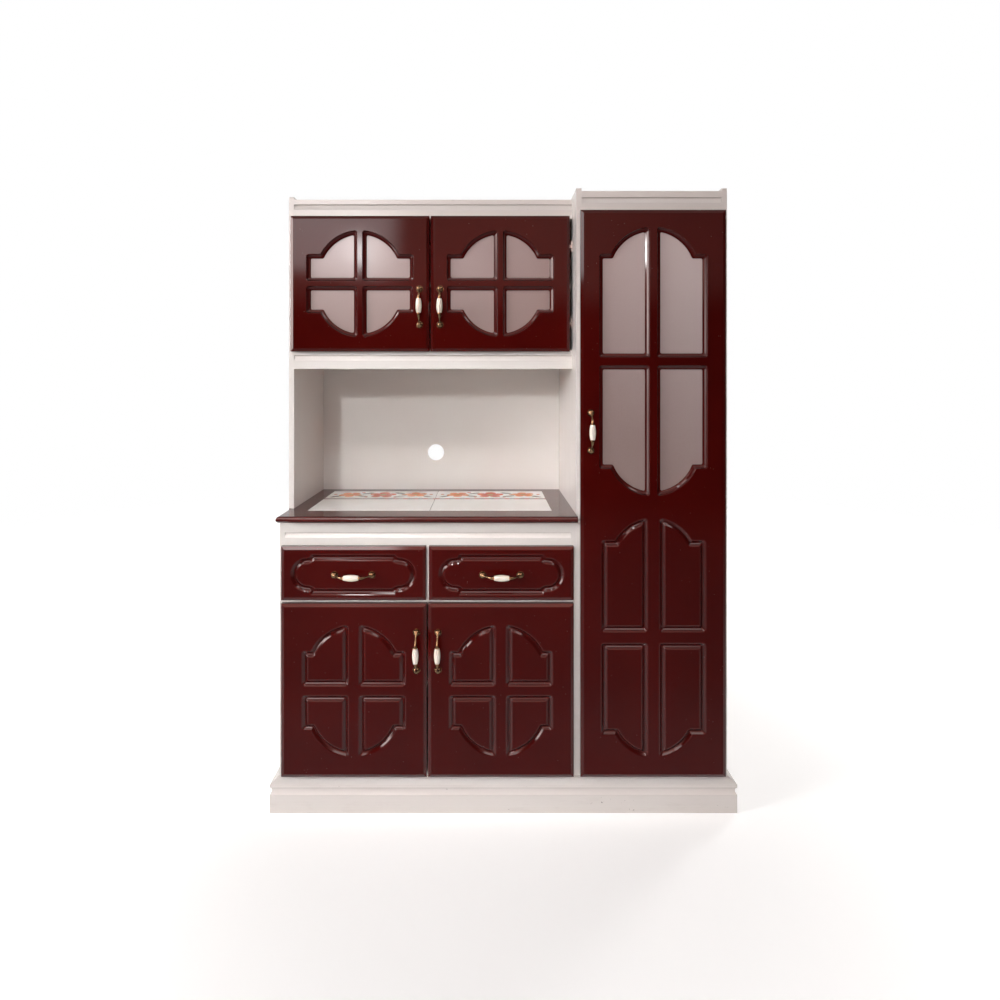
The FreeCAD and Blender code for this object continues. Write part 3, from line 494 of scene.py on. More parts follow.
def print_flowers(net, under, place, rows, heart_color):
    """Printed flowers over what is already printed, each by its place, radius, turn and colours."""
    for x, y, radius, turn, inner, outer in rows:
        flower = net.group(printed_flower, Place=place, Centre=(x, y, 0.0), Radius=radius, Turn=turn)
        petal = net.mix(flower["Reach"], inner, outer)
        veined = net.tint(flower["Vein"], 0.25, petal, inner)
        under = net.mix(flower["Mask"], under, net.mix(flower["Heart"], veined, heart_color))
    return under


def tile_finish(props):
    """White glaze with a printed row of flowers behind a dashed border, the same on both tiles."""
    net = Finish("printed_tile", Specular_IOR_Level=0.3, Coat_Weight=0.12, Coat_Roughness=0.03)
    low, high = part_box("worktop_tiles")
    spot = net.parts(net.place())
    across = net.math("MODULO", net.math("SUBTRACT", spot["X"], low.x), (high.x - low.x) / 2)
    behind = net.math("SUBTRACT", spot["Y"], low.y)
    flat = net.add("CombineXYZ", {0: across, 1: behind}).outputs[0]
    blur = net.add("TexNoise", {"Vector": flat, "Scale": 90.0, "Detail": 3.0}).outputs["Color"]
    shift = net.vector("SUBTRACT", blur, (0.5, 0.5, 0.5))
    small = net.add("VectorMath", {0: shift, "Scale": 0.006}, operation="SCALE").outputs[0]
    place = net.vector("ADD", flat, small)
    coat = net.group(coat_unevenness, Patch_Scale=14.0, Ripple_Scale=120.0, Speck_Scale=120.0)
    glaze = net.mix(coat["Patch"], props.shade_color, props.glaze_color)
    red, orange, peach = props.berry_color, props.petal_color, props.petal_light_color
    leaves = [(0.122, 0.232, 0.026, 0.010, 0.5), (0.133, 0.280, 0.024, 0.009, -0.6),
              (0.247, 0.284, 0.024, 0.010, 0.6), (0.254, 0.229, 0.026, 0.010, -0.5),
              (0.030, 0.225, 0.022, 0.009, -0.7), (0.350, 0.224, 0.022, 0.009, 0.7)]
    flowers = [(0.075, 0.258, 0.042, 0.3, orange, peach), (0.190, 0.256, 0.050, 1.0, red, orange),
               (0.306, 0.260, 0.042, 2.1, orange, peach)]
    berries = [(0.114, 0.296, 0.007, 0.007, 0.0), (0.262, 0.257, 0.007, 0.007, 0.0),
               (0.021, 0.264, 0.007, 0.007, 0.0), (0.360, 0.264, 0.007, 0.007, 0.0),
               (0.138, 0.214, 0.006, 0.006, 0.0), (0.238, 0.211, 0.006, 0.006, 0.0)]
    leafy = print_ovals(net, glaze, place, leaves, props.leaf_dark_color, props.leaf_color)
    flowered = print_flowers(net, leafy, place, flowers, props.heart_color)
    printed = print_ovals(net, flowered, place, berries, peach, red)
    line = net.math("ABSOLUTE", net.math("SUBTRACT", behind, props.border_place))
    on_line = net.fade(line, props.border_width / 2, props.border_width / 2.4)
    step = net.math("FRACT", net.math("DIVIDE", across, props.dash_length * 2))
    dash = net.mix(net.math("GREATER_THAN", step, 0.5), red, props.leaf_dark_color)
    bordered = net.mix(on_line, printed, dash)
    return net.wire(Base_Color=net.tint(coat["Speck"], 0.2, bordered, props.heart_color),
                    Roughness=net.blend(coat["Patch"], 0.06, 0.11),
                    Normal=net.bump(coat["Ripple"], 0.06, 0.0008))


def glass_finish(name, props, low, high, reflection_lean, high_color):
    """Grey frosted glass with a painted reflection, paler towards the top and one side of the pane, with a
    fine etched grain.
    """
    net = Finish(name, Transmission_Weight=props.transmission, Coat_Weight=0.15, Coat_Roughness=0.12)
    spot = net.parts(net.place())
    aside = net.math("SUBTRACT", spot["X"], (low.x + high.x) / 2)
    # Painted reflection: the pane's colour runs from its foot colour to its top colour, leaning to one side.
    reflection_slope = net.math("MULTIPLY_ADD", aside, reflection_lean, spot["Z"])
    drift = props.drift_reach
    height = net.math("MULTIPLY_ADD", net.noise(net.place(), 5.0, 2.0), drift, reflection_slope)
    ends = {"From Min": low.z + drift / 2, "From Max": high.z + drift / 2}
    rise = net.add("MapRange", {"Value": height, **ends}).outputs["Result"]
    tone = net.mix(net.math("POWER", rise, 1.6), props.low_color, high_color)
    etch = net.noise(net.place(), 900.0, 2.0)
    return net.wire(Base_Color=net.tint(etch, 0.12, tone, white),
                    Roughness=net.blend(etch, props.roughness * 0.8, props.roughness * 1.2),
                    Normal=net.bump(etch, 0.05, 0.0002))


def brass_finish(props):
    """Antique brass: gold where hands rub it, brown on the sides and near black in the hollows."""
    net = Finish("antique_brass", Metallic=1.0)
    raised = net.add("NewGeometry").outputs["Pointiness"]
    cloud = net.noise(net.place(), 140.0, 4.0, 0.6)
    fine = net.noise(net.place(), 900.0, 3.0)
    wear_and_edge_highlight = net.fade(net.math("MULTIPLY_ADD", cloud, 0.06, raised), 0.545, 0.62)
    sunk = net.fade(net.math("MULTIPLY_ADD", cloud, 0.05, raised), 0.51, 0.46)
    body = net.mix(cloud, props.brass_dark_color, props.brass_color)
    rubbed = net.mix(wear_and_edge_highlight, body, props.brass_worn_color)
    dull = net.blend(sunk, net.blend(cloud, 0.16, 0.28), 0.6)
    return net.wire(Base_Color=net.mix(sunk, rubbed, props.brass_hollow_color),
                    Roughness=net.blend(wear_and_edge_highlight, dull, 0.2),
                    Normal=net.bump(net.math("ADD", cloud, fine), 0.08, 0.0003))


def ceramic_finish(props):
    """Glossy ivory glaze that thins and warms a little along its rims."""
    net = Finish("white_ceramic", Coat_Weight=1.0, Coat_Roughness=0.02, Subsurface_Weight=0.08,
                 Subsurface_Scale=0.002)
    raised = net.add("NewGeometry").outputs["Pointiness"]
    coat = net.group(coat_unevenness, Patch_Scale=60.0, Ripple_Scale=300.0, Speck_Scale=260.0)
    glaze = net.mix(coat["Patch"], props.ceramic_shade_color, props.ceramic_color)
    rimmed = net.tint(net.fade(raised, 0.52, 0.6), 0.4, glaze, props.ceramic_rim_color)
    return net.wire(Base_Color=net.tint(coat["Speck"], 0.3, rimmed, props.brass_hollow_color),
                    Roughness=net.blend(coat["Patch"], 0.08, 0.14),
                    Normal=net.bump(coat["Ripple"], 0.04, 0.0003))


def steel_finish(props):
    """Nickel-plated pressed steel with drawing lines and a few dull spots."""
    net = Finish("hinge_steel", Metallic=1.0)
    lines = net.group(embossed_grain, Along=(1.0, 0.08, 1.0), Scale=700.0)
    coat = net.group(coat_unevenness, Patch_Scale=50.0, Ripple_Scale=600.0, Speck_Scale=300.0)
    edge = net.group(soft_edge, Radius=0.0005)
    plate = net.mix(coat["Patch"], props.steel_shade_color, props.steel_color)
    return net.wire(Base_Color=net.tint(coat["Speck"], 0.6, plate, props.brass_hollow_color),
                    Roughness=net.blend(lines["Streak"], 0.24, 0.38),
                    Normal=net.bump(lines["Height"], 0.06, 0.0002, edge["Normal"]))


def plastic_finish(name, color, shade_color):
    """Moulded plastic with a fine spark-eroded grain."""
    net = Finish(name)
    coat = net.group(coat_unevenness, Patch_Scale=18.0, Ripple_Scale=1400.0, Speck_Scale=160.0)
    edge = net.group(soft_edge, Radius=0.0006)
    return net.wire(Base_Color=net.mix(coat["Patch"], shade_color, color),
                    Roughness=net.blend(coat["Patch"], 0.38, 0.5),
                    Normal=net.bump(coat["Ripple"], 0.1, 0.0003, edge["Normal"]))


# Objects of the scene: screws and beads of silicone

def add_object(name, data):
    """A new object in the scene."""
    thing = bpy.data.objects.new(name, data)
    bpy.context.scene.collection.objects.link(thing)
    return thing


def add_mesh(bm, name, material):
    """A new object from a mesh in the making, with its finish."""
    mesh = bpy.data.meshes.new(name)
    bm.to_mesh(mesh)
    bm.free()
    mesh.materials.append(material)
    return add_object(name, mesh)


def piece_from(bm, name, material, body):
    """A mesh piece with its finish, riding on a body."""
    bmesh.ops.recalc_face_normals(bm, faces=bm.faces)
    piece = add_mesh(bm, name, material)
    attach(piece, body)


def add_screw(bm, seat, way, props):
    """A domed screw head with a sunk cross, seated at a point and facing one way."""
    turn = Vector(way).to_track_quat("Z", "Y").to_matrix().to_4x4()
    stand = Matrix.Translation(Vector(seat)) @ turn
    quarter = screw_segments // 4
    rings = []
    for share, lift in [(share, 1.0) for share in screw_ring_shares] + [(1.0, 0.0)]:
        dome = lift * props.screw_rise * math.sqrt(1.0 - dome_share * share ** 2)
        reach = props.screw_radius * share
        ring = []
        for index in range(screw_segments):
            angle = 2 * math.pi * index / screw_segments
            from_arm = min(index % quarter, quarter - index % quarter)
            sunk = share < cross_reach_share and from_arm <= 1
            height = dome - (props.cross_depth if sunk else 0.0)
            spot = Vector((reach * math.cos(angle), reach * math.sin(angle), height))
            ring.append(bm.verts.new(stand @ spot))
        rings.append(ring)
    bm.faces.new(rings[0])
    for inner, outer in zip(rings, rings[1:]):
        for index in range(screw_segments):
            after = (index + 1) % screw_segments
            bm.faces.new((inner[index], outer[index], outer[after], inner[after]))


def drive_screws(name, screws, material, body, props):
    """A piece of screws, each by its seat and the way it faces, riding on a body."""
    bm = bmesh.new()
    for seat, way in screws:
        add_screw(bm, seat, way, props)
    piece_from(bm, name, material, body)


def hinge_heights(door, props):
    """The heights of a door's hinges, spread between its two end hinges."""
    low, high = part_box(door + "_panel")
    count = tall_door_hinges if door == "tall_door" else other_door_hinges
    step = (high.z - low.z - 2 * props.end_inset) / (count - 1)
    return [low.z + props.end_inset + step * index for index in range(count)]


def handle_middle(name):
    """The middle of a door's or drawer's handle, across and up."""
    low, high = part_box(name + "_handle")
    return (low.x + high.x) / 2, (low.z + high.z) / 2


def door_screws(door, props):
    """The screws behind a door: two in each hinge flange and two through the handle's feet."""
    cups_low, cups_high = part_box(door + "_hinge_cups")
    panel_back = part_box(door + "_panel")[1].y
    seats = [((cups_low.x + cups_high.x) / 2, panel_back + props.flange_thickness,
              height + side * props.flange_screw_place)
             for height in hinge_heights(door, props) for side in (-1, 1)]
    across, height = handle_middle(door)
    seats += [(across, panel_back, height + side * props.foot_place) for side in (-1, 1)]
    return [(seat, backwards) for seat in seats]


def drawer_screws(drawer, props):
    """The two handle screws behind a drawer front."""
    across, height = handle_middle(drawer)
    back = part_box(drawer + "_front")[1].y
    return [((across + side * props.foot_place, back, height), backwards) for side in (-1, 1)]


def plate_screws(door, props):
    """The screws in the hinge plates on the cupboard's wall."""
    board, way = plate_boards[door]
    board_low, board_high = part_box(board)
    across = (board_high.x if way > 0 else board_low.x) + way * props.plate_thickness
    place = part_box(door + "_panel")[1].y + props.plate_screw_back
    return [((across, place, height + side * props.plate_screw_place), (way, 0.0, 0.0))
            for height in hinge_heights(door, props) for side in (-1, 1)]


def inward_way(place, low, high):
    """The way from an edge towards the middle, or nothing between the edges."""
    return math.copysign(1, (low + high) / 2 - place) if place in (low, high) else 0.0


def add_bead(bm, low, high, back, props):
    """A hand-run bead of silicone in the corner between a pane's back and the door around it."""
    rng = random.Random(round(low.x * 10000))
    corners = [(low.x, low.z), (high.x, low.z), (high.x, high.z), (low.x, high.z)]
    loops = []
    for index, (x, z) in enumerate(corners):
        next_x, next_z = corners[(index + 1) % len(corners)]
        for station in range(bead_stations):
            share = station / bead_stations
            at_x, at_z = x + (next_x - x) * share, z + (next_z - z) * share
            width = props.bead_width * rng.uniform(*bead_width_shares)
            depth = props.bead_depth * rng.uniform(*bead_depth_shares)
            way_x, way_z = inward_way(at_x, low.x, high.x), inward_way(at_z, low.z, high.z)
            loop = []
            for step in range(bead_rounds + 1):
                angle = math.pi / 2 * step / bead_rounds
                inward, rise = width * (1 - math.sin(angle)), depth * (1 - math.cos(angle))
                loop.append(bm.verts.new((at_x + way_x * inward, back + rise, at_z + way_z * inward)))
            loops.append(loop)
    for loop, after in zip(loops, loops[1:] + loops[:1]):
        for step in range(bead_rounds):
            bm.faces.new((loop[step], loop[step + 1], after[step + 1], after[step]))


# Values that a user would change

def number_value(label, words, value, **limits):
    """A number that a user may change."""
    return bpy.props.FloatProperty(name=label, description=words, default=value, **limits)


def length_value(label, words, value):
    """A length that a user may change."""
    return number_value(label, words, value, unit="LENGTH", subtype="DISTANCE", min=0.0, precision=4)


def share_value(label, words, value):
    """A share from nothing to one that a user may change."""
    return number_value(label, words, value, subtype="FACTOR", min=0.0, max=1.0)


def power_value(label, words, value):
    """A lamp's power that a user may change."""
    return number_value(label, "Power " + words, value, unit="POWER", min=0.0)


def color_value(label, words, value):
    """A colour that a user may change."""
    return bpy.props.FloatVectorProperty(name=label, description="Colour " + words, default=value,
                                         subtype="COLOR", size=3, min=0.0, max=1.0)


def place_value(label, words, value):
    """A place that a user may change."""
    return bpy.props.FloatVectorProperty(name=label, description=words, default=value,
                                         subtype="TRANSLATION", size=3, unit="LENGTH")


class FrontValues(bpy.types.PropertyGroup):
    """Finish of the doors, the drawer fronts and the worktop."""

    color: color_value("Maroon", "of the lacquer", (0.057, 0.0023, 0.0017))
    deep_color: color_value("Deep Maroon", "of the lacquer's darker patches", (0.047, 0.0018, 0.0014))
    # Painted highlight along the edges.
    edge_color: color_value("Edge", "of the lacquer where it thins on edges", (0.15, 0.035, 0.028))
    # Painted shade in the grooves and inner corners.
    hollow_color: color_value("Hollows", "of the lacquer in the hollows", (0.012, 0.0008, 0.0007))
    back_color: color_value("Door Back", "of the foil behind the doors", (0.72, 0.69, 0.66))
    worktop_color: color_value("Worktop", "of the worktop's laminate", (0.070, 0.006, 0.0055))
    gloss: share_value("Gloss", "Strength of the mirror-like reflection", 0.09)
    flat_coat: share_value("Flat Coat", "Clear coat on the flat faces", 0.05)
    moulding_coat: share_value("Moulding Coat", "Clear coat that gathers on the mouldings", 0.55)
    worktop_gloss: share_value("Worktop Gloss", "Strength of the worktop's reflection", 0.5)
    roughness: share_value("Roughness", "How soft the reflection is", 0.06)
    edge_round: length_value("Edge Rounding", "Radius of the softened edges", 0.0026)


class CarcassValues(bpy.types.PropertyGroup):
    """Finish of the white boards and back panels."""

    color: color_value("White", "of the foil", (0.76, 0.72, 0.69))
    shade_color: color_value("Shade", "of the foil's darker patches", (0.735, 0.69, 0.66))
    grain_color: color_value("Grain", "in the embossed grain", (0.66, 0.615, 0.585))
    # Painted highlight along the edges.
    edge_color: color_value("Edge", "of the foil on edges", (0.80, 0.775, 0.75))
    # Painted shade in the grooves and inner corners.
    hollow_color: color_value("Hollows", "of dust in the grooves", (0.40, 0.35, 0.32))
    rub_color: color_value("Rubbed", "of dirt rubbed in near the floor", (0.36, 0.29, 0.25))
    chip_color: color_value("Chipped", "of small chips near the floor", (0.055, 0.032, 0.024))
    back_color: color_value("Back Panels", "of the painted back panels", (0.76, 0.74, 0.71))
    gloss: share_value("Gloss", "Strength of the reflection", 0.4)
    roughness: share_value("Roughness", "How soft the reflection is", 0.24)
    edge_round: length_value("Edge Rounding", "Radius of the softened edges", 0.001)
    scuff_height: length_value("Scuff Height", "Height above the floor that scuffs reach", 0.1)


class TileValues(bpy.types.PropertyGroup):
    """Glaze and print of the worktop's tiles."""

    glaze_color: color_value("Glaze", "of the glaze", (0.93, 0.92, 0.895))
    shade_color: color_value("Glaze Shade", "of the glaze's warmer patches", (0.90, 0.885, 0.855))
    petal_color: color_value("Petal", "of the petals near the heart", (0.62, 0.11, 0.02))
    petal_light_color: color_value("Petal Tip", "of the petals' tips", (0.76, 0.27, 0.075))
    heart_color: color_value("Heart", "of the flowers' hearts", (0.42, 0.20, 0.03))
    leaf_color: color_value("Leaf", "of the leaves", (0.20, 0.24, 0.08))
    leaf_dark_color: color_value("Leaf Vein", "along the middle of the leaves", (0.07, 0.10, 0.03))
    berry_color: color_value("Berry", "of the berries", (0.50, 0.035, 0.018))
    border_place: length_value("Border Place", "How far the border lies behind the tile's front edge", 0.183)
    border_width: length_value("Border Width", "Width of the dashed border", 0.016)
    dash_length: length_value("Dash", "Length of each dash of the border", 0.017)


class GlassValues(bpy.types.PropertyGroup):
    """Finish of the panes, and their bead."""

    # Painted reflection: the panes pale from foot to top and towards one side.
    high_color: color_value("Upper", "towards the top of a pane", (0.34, 0.262, 0.257))
    tall_high_color: color_value("Tall Upper", "towards the top of the tall pane", (0.58, 0.49, 0.48))
    low_color: color_value("Lower", "towards the foot of a pane", (0.262, 0.172, 0.158))
    bead_color: color_value("Bead", "of the silicone bead", (0.74, 0.72, 0.69))
    bead_shade_color: color_value("Bead Shade", "of the bead's darker patches", (0.62, 0.60, 0.57))
    upper_lean: number_value("Upper Lean", "How far the upper panes' shading leans to the right", -0.3)
    tall_lean: number_value("Tall Lean", "How far the tall pane's shading leans to the right", 0.9)
    drift_reach: length_value("Drift", "How far the shading wanders up and down", 0.08)
    transmission: share_value("Transmission", "Share of light that passes through", 0.12)
    roughness: share_value("Roughness", "How strongly the etched face scatters", 0.35)
    bead_width: length_value("Bead Width", "Width of the bead on the glass", 0.0045)
    bead_depth: length_value("Bead Depth", "Height of the bead on the door", 0.0017)


class FittingValues(bpy.types.PropertyGroup):
    """Finish of the handles, hinges and runners, and places of their screws."""

    brass_color: color_value("Brass", "of the brass", (0.33, 0.215, 0.115))
    brass_dark_color: color_value("Dark Brass", "of the darkened brass", (0.07, 0.05, 0.032))
    brass_worn_color: color_value("Worn Brass", "of the brass where hands rub it", (0.68, 0.45, 0.24))
    brass_hollow_color: color_value("Brass Hollows", "of the brass in its hollows", (0.016, 0.015, 0.012))
    ceramic_color: color_value("Ceramic", "of the grips' glaze", (0.84, 0.775, 0.69))
    ceramic_shade_color: color_value("Ceramic Shade", "of the glaze's warmer patches", (0.79, 0.71, 0.60))
    ceramic_rim_color: color_value("Ceramic Rim", "of the glaze on its rims", (0.62, 0.52, 0.41))
    steel_color: color_value("Steel", "of the plated steel", (0.62, 0.61, 0.59))
    steel_shade_color: color_value("Steel Shade", "of the steel's duller patches", (0.46, 0.45, 0.43))
    runner_color: color_value("Runners", "of the drawer runners", (0.70, 0.685, 0.65))
    runner_shade_color: color_value("Runner Shade", "of the runners' darker patches", (0.60, 0.585, 0.55))
    screw_radius: length_value("Screw Radius", "Radius of a screw's head", 0.0039)
    screw_rise: length_value("Screw Rise", "Height of a screw's head", 0.0016)
    cross_depth: length_value("Cross Depth", "Depth of the cross in a screw's head", 0.0011)
    end_inset: length_value("End Hinge Inset", "From a door's end to its first hinge", 0.09)
    flange_thickness: length_value("Flange Thickness", "Thickness of the hinge cup's flange", 0.0012)
    flange_screw_place: length_value("Flange Screws", "From a hinge's middle to its flange screws", 0.0245)
    foot_place: length_value("Handle Feet", "From a handle's middle to its feet", 0.056)
    plate_thickness: length_value("Plate Thickness", "Thickness of a hinge's wall plate", 0.0025)
    plate_screw_back: length_value("Plate Screws Back", "From a door's back to the plate's screws", 0.039)
    plate_screw_place: length_value("Plate Screws", "From a hinge's middle to its plate's screws", 0.0105)


class StageValues(bpy.types.PropertyGroup):
    """Floor, lights and camera."""

    floor_color: color_value("Floor", "of the floor", (0.86, 0.855, 0.85))
    floor_radius: length_value("Floor Radius", "Reach of the floor from the cupboard", 6.0)
    floor_glow: share_value("Floor Glow", "Share of white that the floor shows near the cupboard", 0.42)
    ambient: color_value("Ambient", "of the even light from all around", (0.28, 0.257, 0.245))
    key_power: power_value("Key Light", "of the far light over the camera", 19.5)
    side_power: power_value("Side Light", "of the light from the left", 51.0)
    front_power: power_value("Front Light", "of the low light from the front", 2.6)
    ceiling_power: power_value("Ceiling Light", "of the light over the worktop", 2.9)
    rear_power: power_value("Rear Light", "of the light on the back and the right side", 30.0)
    window_power: power_value("Window", "of the window that only mirrors show", 5.0)
    glint_power: power_value("Glint", "of the far lamp that only mirrors show", 120.0)
    tube_power: power_value("Tube", "of the ceiling tube that only mirrors show", 9.0)
    camera_place: place_value("Camera", "Place of the camera", (-0.053, -1.95875, 1.280))
    lens: number_value("Lens", "Focal length in millimetres", 21.17, min=1.0)
    shift_x: number_value("Shift Across", "Sideways shift of the lens", 0.0142)
    shift_y: number_value("Shift Up", "Upright shift of the lens", -0.1162)


# Operators

def dress(names, material):
    """Give nodes of the part a finish."""
    for name in names:
        for slot in nodes[name].material_slots:
            slot.material = material


class CUPBOARD_OT_paint_fronts(bpy.types.Operator):
    """Lacquer the doors and the drawer fronts"""
    bl_idname = "cupboard.paint_fronts"
    bl_label = "Lacquer Fronts"

    def execute(self, context):
        finish = lacquer_finish(context.scene.cupboard_fronts)
        dress([door + "_panel" for door in doors] + [drawer + "_front" for drawer in drawers], finish)
        return {"FINISHED"}


class CUPBOARD_OT_paint_worktop(bpy.types.Operator):
    """Give the worktop its gloss laminate"""
    bl_idname = "cupboard.paint_worktop"
    bl_label = "Finish Worktop"

    def execute(self, context):
        dress(["worktop"], worktop_finish(context.scene.cupboard_fronts))
        return {"FINISHED"}


class CUPBOARD_OT_paint_carcass(bpy.types.Operator):
    """Foil the white boards, paint the back panels and finish the drawer boxes"""
    bl_idname = "cupboard.paint_carcass"
    bl_label = "Finish Carcass"

    def execute(self, context):
        values = context.scene.cupboard_carcass
        dress(upright_boards, white_finish("white_foil_upright", values, along_z))
        dress(level_boards + plinth_boards, white_finish("white_foil_level", values, along_x))
        boxes = [drawer + end for drawer in drawers for end in ("_box", "_bottom")]
        dress(boxes, white_finish("drawer_foil", values, along_y))
        dress(back_panels, hardboard_finish(values))
        return {"FINISHED"}


class CUPBOARD_OT_print_tiles(bpy.types.Operator):
    """Glaze and print the tiles in the worktop"""
    bl_idname = "cupboard.print_tiles"
    bl_label = "Print Tiles"

    def execute(self, context):
        dress(["worktop_tiles"], tile_finish(context.scene.cupboard_tiles))
        return {"FINISHED"}


class CUPBOARD_OT_glaze_doors(bpy.types.Operator):
    """Finish the panes and run a bead of silicone round the back of each"""
    bl_idname = "cupboard.glaze_doors"
    bl_label = "Glaze Doors"

    def execute(self, context):
        values = context.scene.cupboard_glass
        silicone = plastic_finish("silicone", values.bead_color, values.bead_shade_color)
        for door in glazed_doors:
            low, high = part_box(door + "_glass")
            tall = door == "tall_door"
            # Painted reflection on each pane, leaning and paling as set for the tall or the upper doors.
            reflection_lean = values.tall_lean if tall else values.upper_lean
            high_color = values.tall_high_color if tall else values.high_color
            dress([door + "_glass"], glass_finish(door + "_glass", values, low, high, reflection_lean, high_color))
            bm = bmesh.new()
            add_bead(bm, low, high, high.y, values)
            piece_from(bm, door + "_bead", silicone, door)
        return {"FINISHED"}


class CUPBOARD_OT_finish_handles(bpy.types.Operator):
    """Darken the brass handles and glaze their ceramic grips"""
    bl_idname = "cupboard.finish_handles"
    bl_label = "Finish Handles"

    def execute(self, context):
        values = context.scene.cupboard_fittings
        dress([name + "_handle" for name in doors + drawers], brass_finish(values))
        dress([name + "_grip" for name in doors + drawers], ceramic_finish(values))
        return {"FINISHED"}


class CUPBOARD_OT_fit_hinges(bpy.types.Operator):
    """Plate the hinges and shelf pins, finish the runners and drive every screw"""
    bl_idname = "cupboard.fit_hinges"
    bl_label = "Fit Hinges and Screws"

    def execute(self, context):
        values = context.scene.cupboard_fittings
        steel = steel_finish(values)
        dress(["hinge_arms", "shelf_pins"] + [door + "_hinge_cups" for door in doors], steel)
        plastic = plastic_finish("runner_plastic", values.runner_color, values.runner_shade_color)
        dress(["drawer_runners"], plastic)
        for door in doors:
            drive_screws(door + "_screws", door_screws(door, values), steel, door, values)
        for drawer in drawers:
            drive_screws(drawer + "_screws", drawer_screws(drawer, values), steel, drawer, values)
        on_plates = [screw for door in doors for screw in plate_screws(door, values)]
        drive_screws("plate_screws", on_plates, steel, "carcass", values)
        return {"FINISHED"}


# Stage

def lay_floor(values):
    """A round pale floor that whitens away from the cupboard and fades into the backdrop."""
    net = Finish("studio_floor", Roughness=0.6, Emission_Color=white)
    place = net.place()
    far = net.length(place)
    path, sharp = net.sharp_rays()
    near = net.fade(net.parts(place)["Y"], *floor_mirror_places)
    mirrored = net.times(net.times(sharp, near), values.floor_glow)
    shown = net.blend(net.fade(far, *floor_white_reaches), values.floor_glow, 1.0)
    reach = values.floor_radius
    solid_share, clear_share = floor_fade_shares
    tone = net.tint(net.noise(place, 3.0, 2.0), 0.04, values.floor_color, white)
    material = net.wire(Base_Color=tone, Alpha=net.fade(far, reach * clear_share, reach * solid_share),
                        Emission_Strength=net.blend(path["Is Camera Ray"], mirrored, shown))
    bm = bmesh.new()
    bmesh.ops.create_circle(bm, cap_ends=True, radius=reach, segments=floor_segments)
    floor = add_mesh(bm, "studio_floor", material)
    floor.location.z = cad_low.z - floor_gap


def soften(lamp, core_share):
    """Let a light fade from its core towards its edges, so that it mirrors without a hard outline."""
    lamp.use_nodes = True
    net = Wiring(lamp.node_tree)
    spot = net.parts(net.add("NewGeometry").outputs["Parametric"])
    sides = [net.fade(net.math("ABSOLUTE", net.math("SUBTRACT", spot[axis], 0.5)), 0.5, core_share)
             for axis in ("X", "Y")]
    net.put(lamp.node_tree.nodes["Emission"].inputs["Strength"], net.times(*sides))


def hang_light(name, power, mirrored, place, aim, width, height, spread, core_share=0.15):
    """A soft area light at a place, turned to a point, that either lights the cupboard or mirrors in it."""
    lamp = bpy.data.lights.new(name, "AREA")
    lamp.shape, lamp.size, lamp.size_y = "RECTANGLE", width, height
    lamp.energy, lamp.spread = power, math.radians(spread)
    soften(lamp, core_share)
    light = add_object(name, lamp)
    light.location = place
    light.rotation_euler = (Vector(aim) - Vector(place)).to_track_quat("-Z", "Y").to_euler()
    light.visible_diffuse, light.visible_glossy = not mirrored, mirrored


def mirrored_room(net):
    """The colours that a mirror shows: a white backdrop behind, and walls, a slit and lamps before it."""
    way = net.parts(net.add("TexCoord").outputs["Generated"])
    wall = net.mix(net.fade(way["X"], *wall_turn_x_shares), wall_left_color, wall_right_color)
    front = net.mix(net.fade(way["Z"], *wall_foot_z_shares), wall_foot_color, wall)
    aside = net.fade(net.math("ABSOLUTE", way["X"]), *room_side_x_shares)
    room = net.mix(aside, front, room_side_color)
    slit = net.mix(net.fade(way["Z"], *slit_z_shares), slit_low_color, slit_high_color)
    inner = net.fade(way["X"], *slit_inner_x_shares)
    outer = net.fade(way["X"], *slit_outer_x_shares)
    opened = net.mix(net.times(inner, outer), room, slit)
    ceiled = net.mix(net.fade(way["Z"], *ceiling_z_shares), opened, ceiling_color)
    foot = net.fade(way["Z"], *lamp_row_foot_z_shares)
    top = net.fade(way["Z"], *lamp_row_top_z_shares)
    lamps = net.mix(net.times(foot, top), ceiled, lamp_row_color)
    return net.mix(net.fade(way["Y"], *backdrop_y_shares), lamps, white)


def light_room(values):
    """An even room that the camera sees as white and mirrors see as a lit room."""
    world = bpy.data.worlds.new("studio")
    bpy.context.scene.world = world
    world.use_nodes = True
    net = Wiring(world.node_tree)
    path, sharp = net.sharp_rays()
    unseen = net.mix(sharp, values.ambient, mirrored_room(net))
    seen = net.mix(path["Is Camera Ray"], unseen, white)
    net.put(world.node_tree.nodes["Background"].inputs["Color"], seen)


def set_camera(values):
    """The camera at the photograph's viewing angle."""
    lens = bpy.data.cameras.new("camera")
    lens.sensor_width, lens.lens = sensor_width, values.lens
    lens.shift_x, lens.shift_y = values.shift_x, values.shift_y
    camera = add_object("camera", lens)
    camera.location = values.camera_place
    camera.rotation_euler = (math.pi / 2, 0.0, 0.0)
    bpy.context.scene.camera = camera


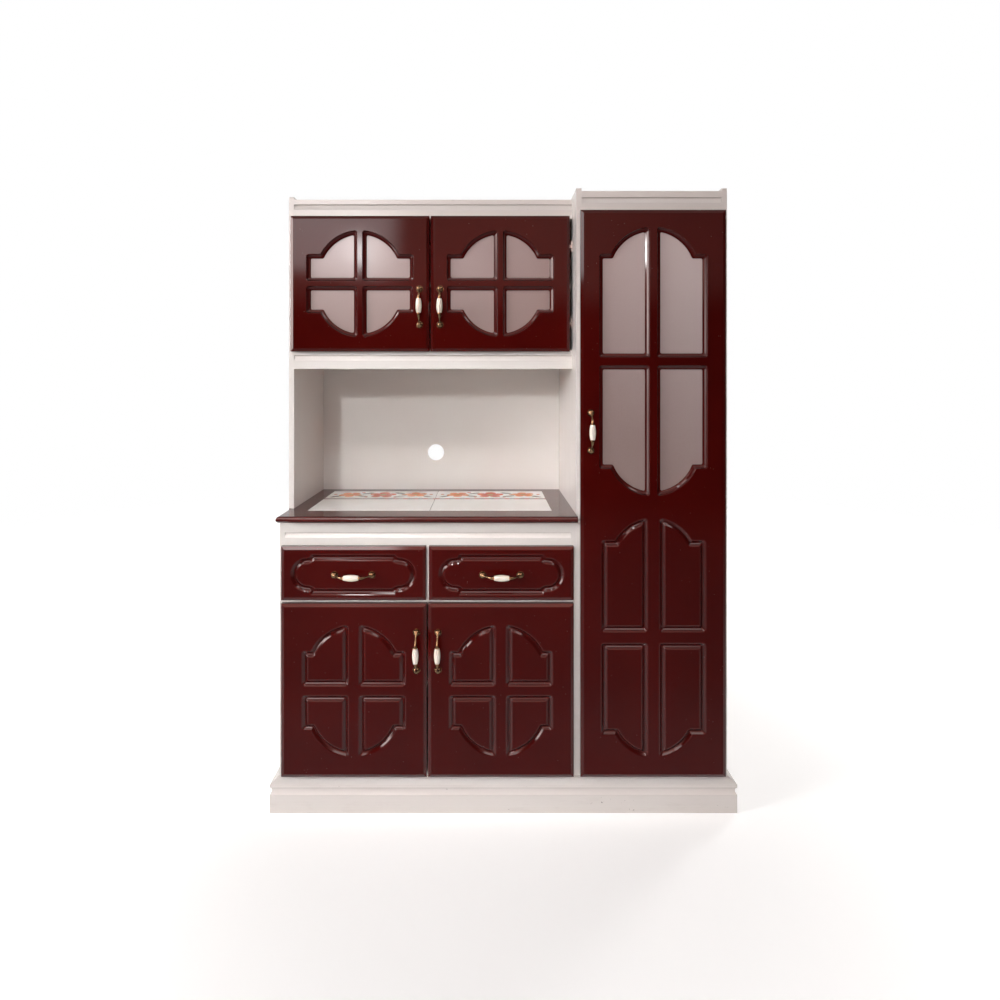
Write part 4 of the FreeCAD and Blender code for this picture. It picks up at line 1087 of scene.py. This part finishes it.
class CUPBOARD_OT_set_stage(bpy.types.Operator):
    """Lay the floor, hang the lights and set the camera"""
    bl_idname = "cupboard.set_stage"
    bl_label = "Set Stage"

    def execute(self, context):
        values = context.scene.cupboard_stage
        lay_floor(values)
        light_room(values)
        for lamps, mirrored in ((lit_lamps, False), (mirrored_lamps, True)):
            for name, settings in lamps.items():
                hang_light(name, getattr(values, name + "_power"), mirrored, *settings)
        set_camera(values)
        context.scene.view_settings.view_transform = "Standard"
        return {"FINISHED"}


class CUPBOARD_PT_looks(bpy.types.Panel):
    """Steps and values of the cupboard's looks"""
    bl_idname = "CUPBOARD_PT_looks"
    bl_label = "Cupboard Looks"
    bl_space_type = "VIEW_3D"
    bl_region_type = "UI"
    bl_category = "Cupboard"

    def draw(self, context):
        for step in steps:
            self.layout.operator(step.bl_idname)
        for label in value_groups:
            values = getattr(context.scene, label)
            box = self.layout.box()
            for key in values.bl_rna.properties.keys():
                if key not in ("rna_type", "name"):
                    box.prop(values, key)


# Registration

value_groups = {
    "cupboard_fronts": FrontValues, "cupboard_carcass": CarcassValues, "cupboard_tiles": TileValues,
    "cupboard_glass": GlassValues, "cupboard_fittings": FittingValues, "cupboard_stage": StageValues,
}
steps = (CUPBOARD_OT_paint_fronts, CUPBOARD_OT_paint_worktop, CUPBOARD_OT_paint_carcass,
         CUPBOARD_OT_print_tiles, CUPBOARD_OT_glaze_doors, CUPBOARD_OT_finish_handles,
         CUPBOARD_OT_fit_hinges, CUPBOARD_OT_set_stage)


def register():
    for label, group in value_groups.items():
        bpy.utils.register_class(group)
        setattr(bpy.types.Scene, label, bpy.props.PointerProperty(type=group))
    for step in steps + (CUPBOARD_PT_looks,):
        bpy.utils.register_class(step)


def unregister():
    for step in reversed(steps + (CUPBOARD_PT_looks,)):
        bpy.utils.unregister_class(step)
    for label, group in reversed(value_groups.items()):
        delattr(bpy.types.Scene, label)
        bpy.utils.unregister_class(group)


def main():
    register()
    bpy.ops.cupboard.paint_fronts()
    bpy.ops.cupboard.paint_worktop()
    bpy.ops.cupboard.paint_carcass()
    bpy.ops.cupboard.print_tiles()
    bpy.ops.cupboard.glaze_doors()
    bpy.ops.cupboard.finish_handles()
    bpy.ops.cupboard.fit_hinges()
    bpy.ops.cupboard.set_stage()


if __name__ == "__main__":
    main()
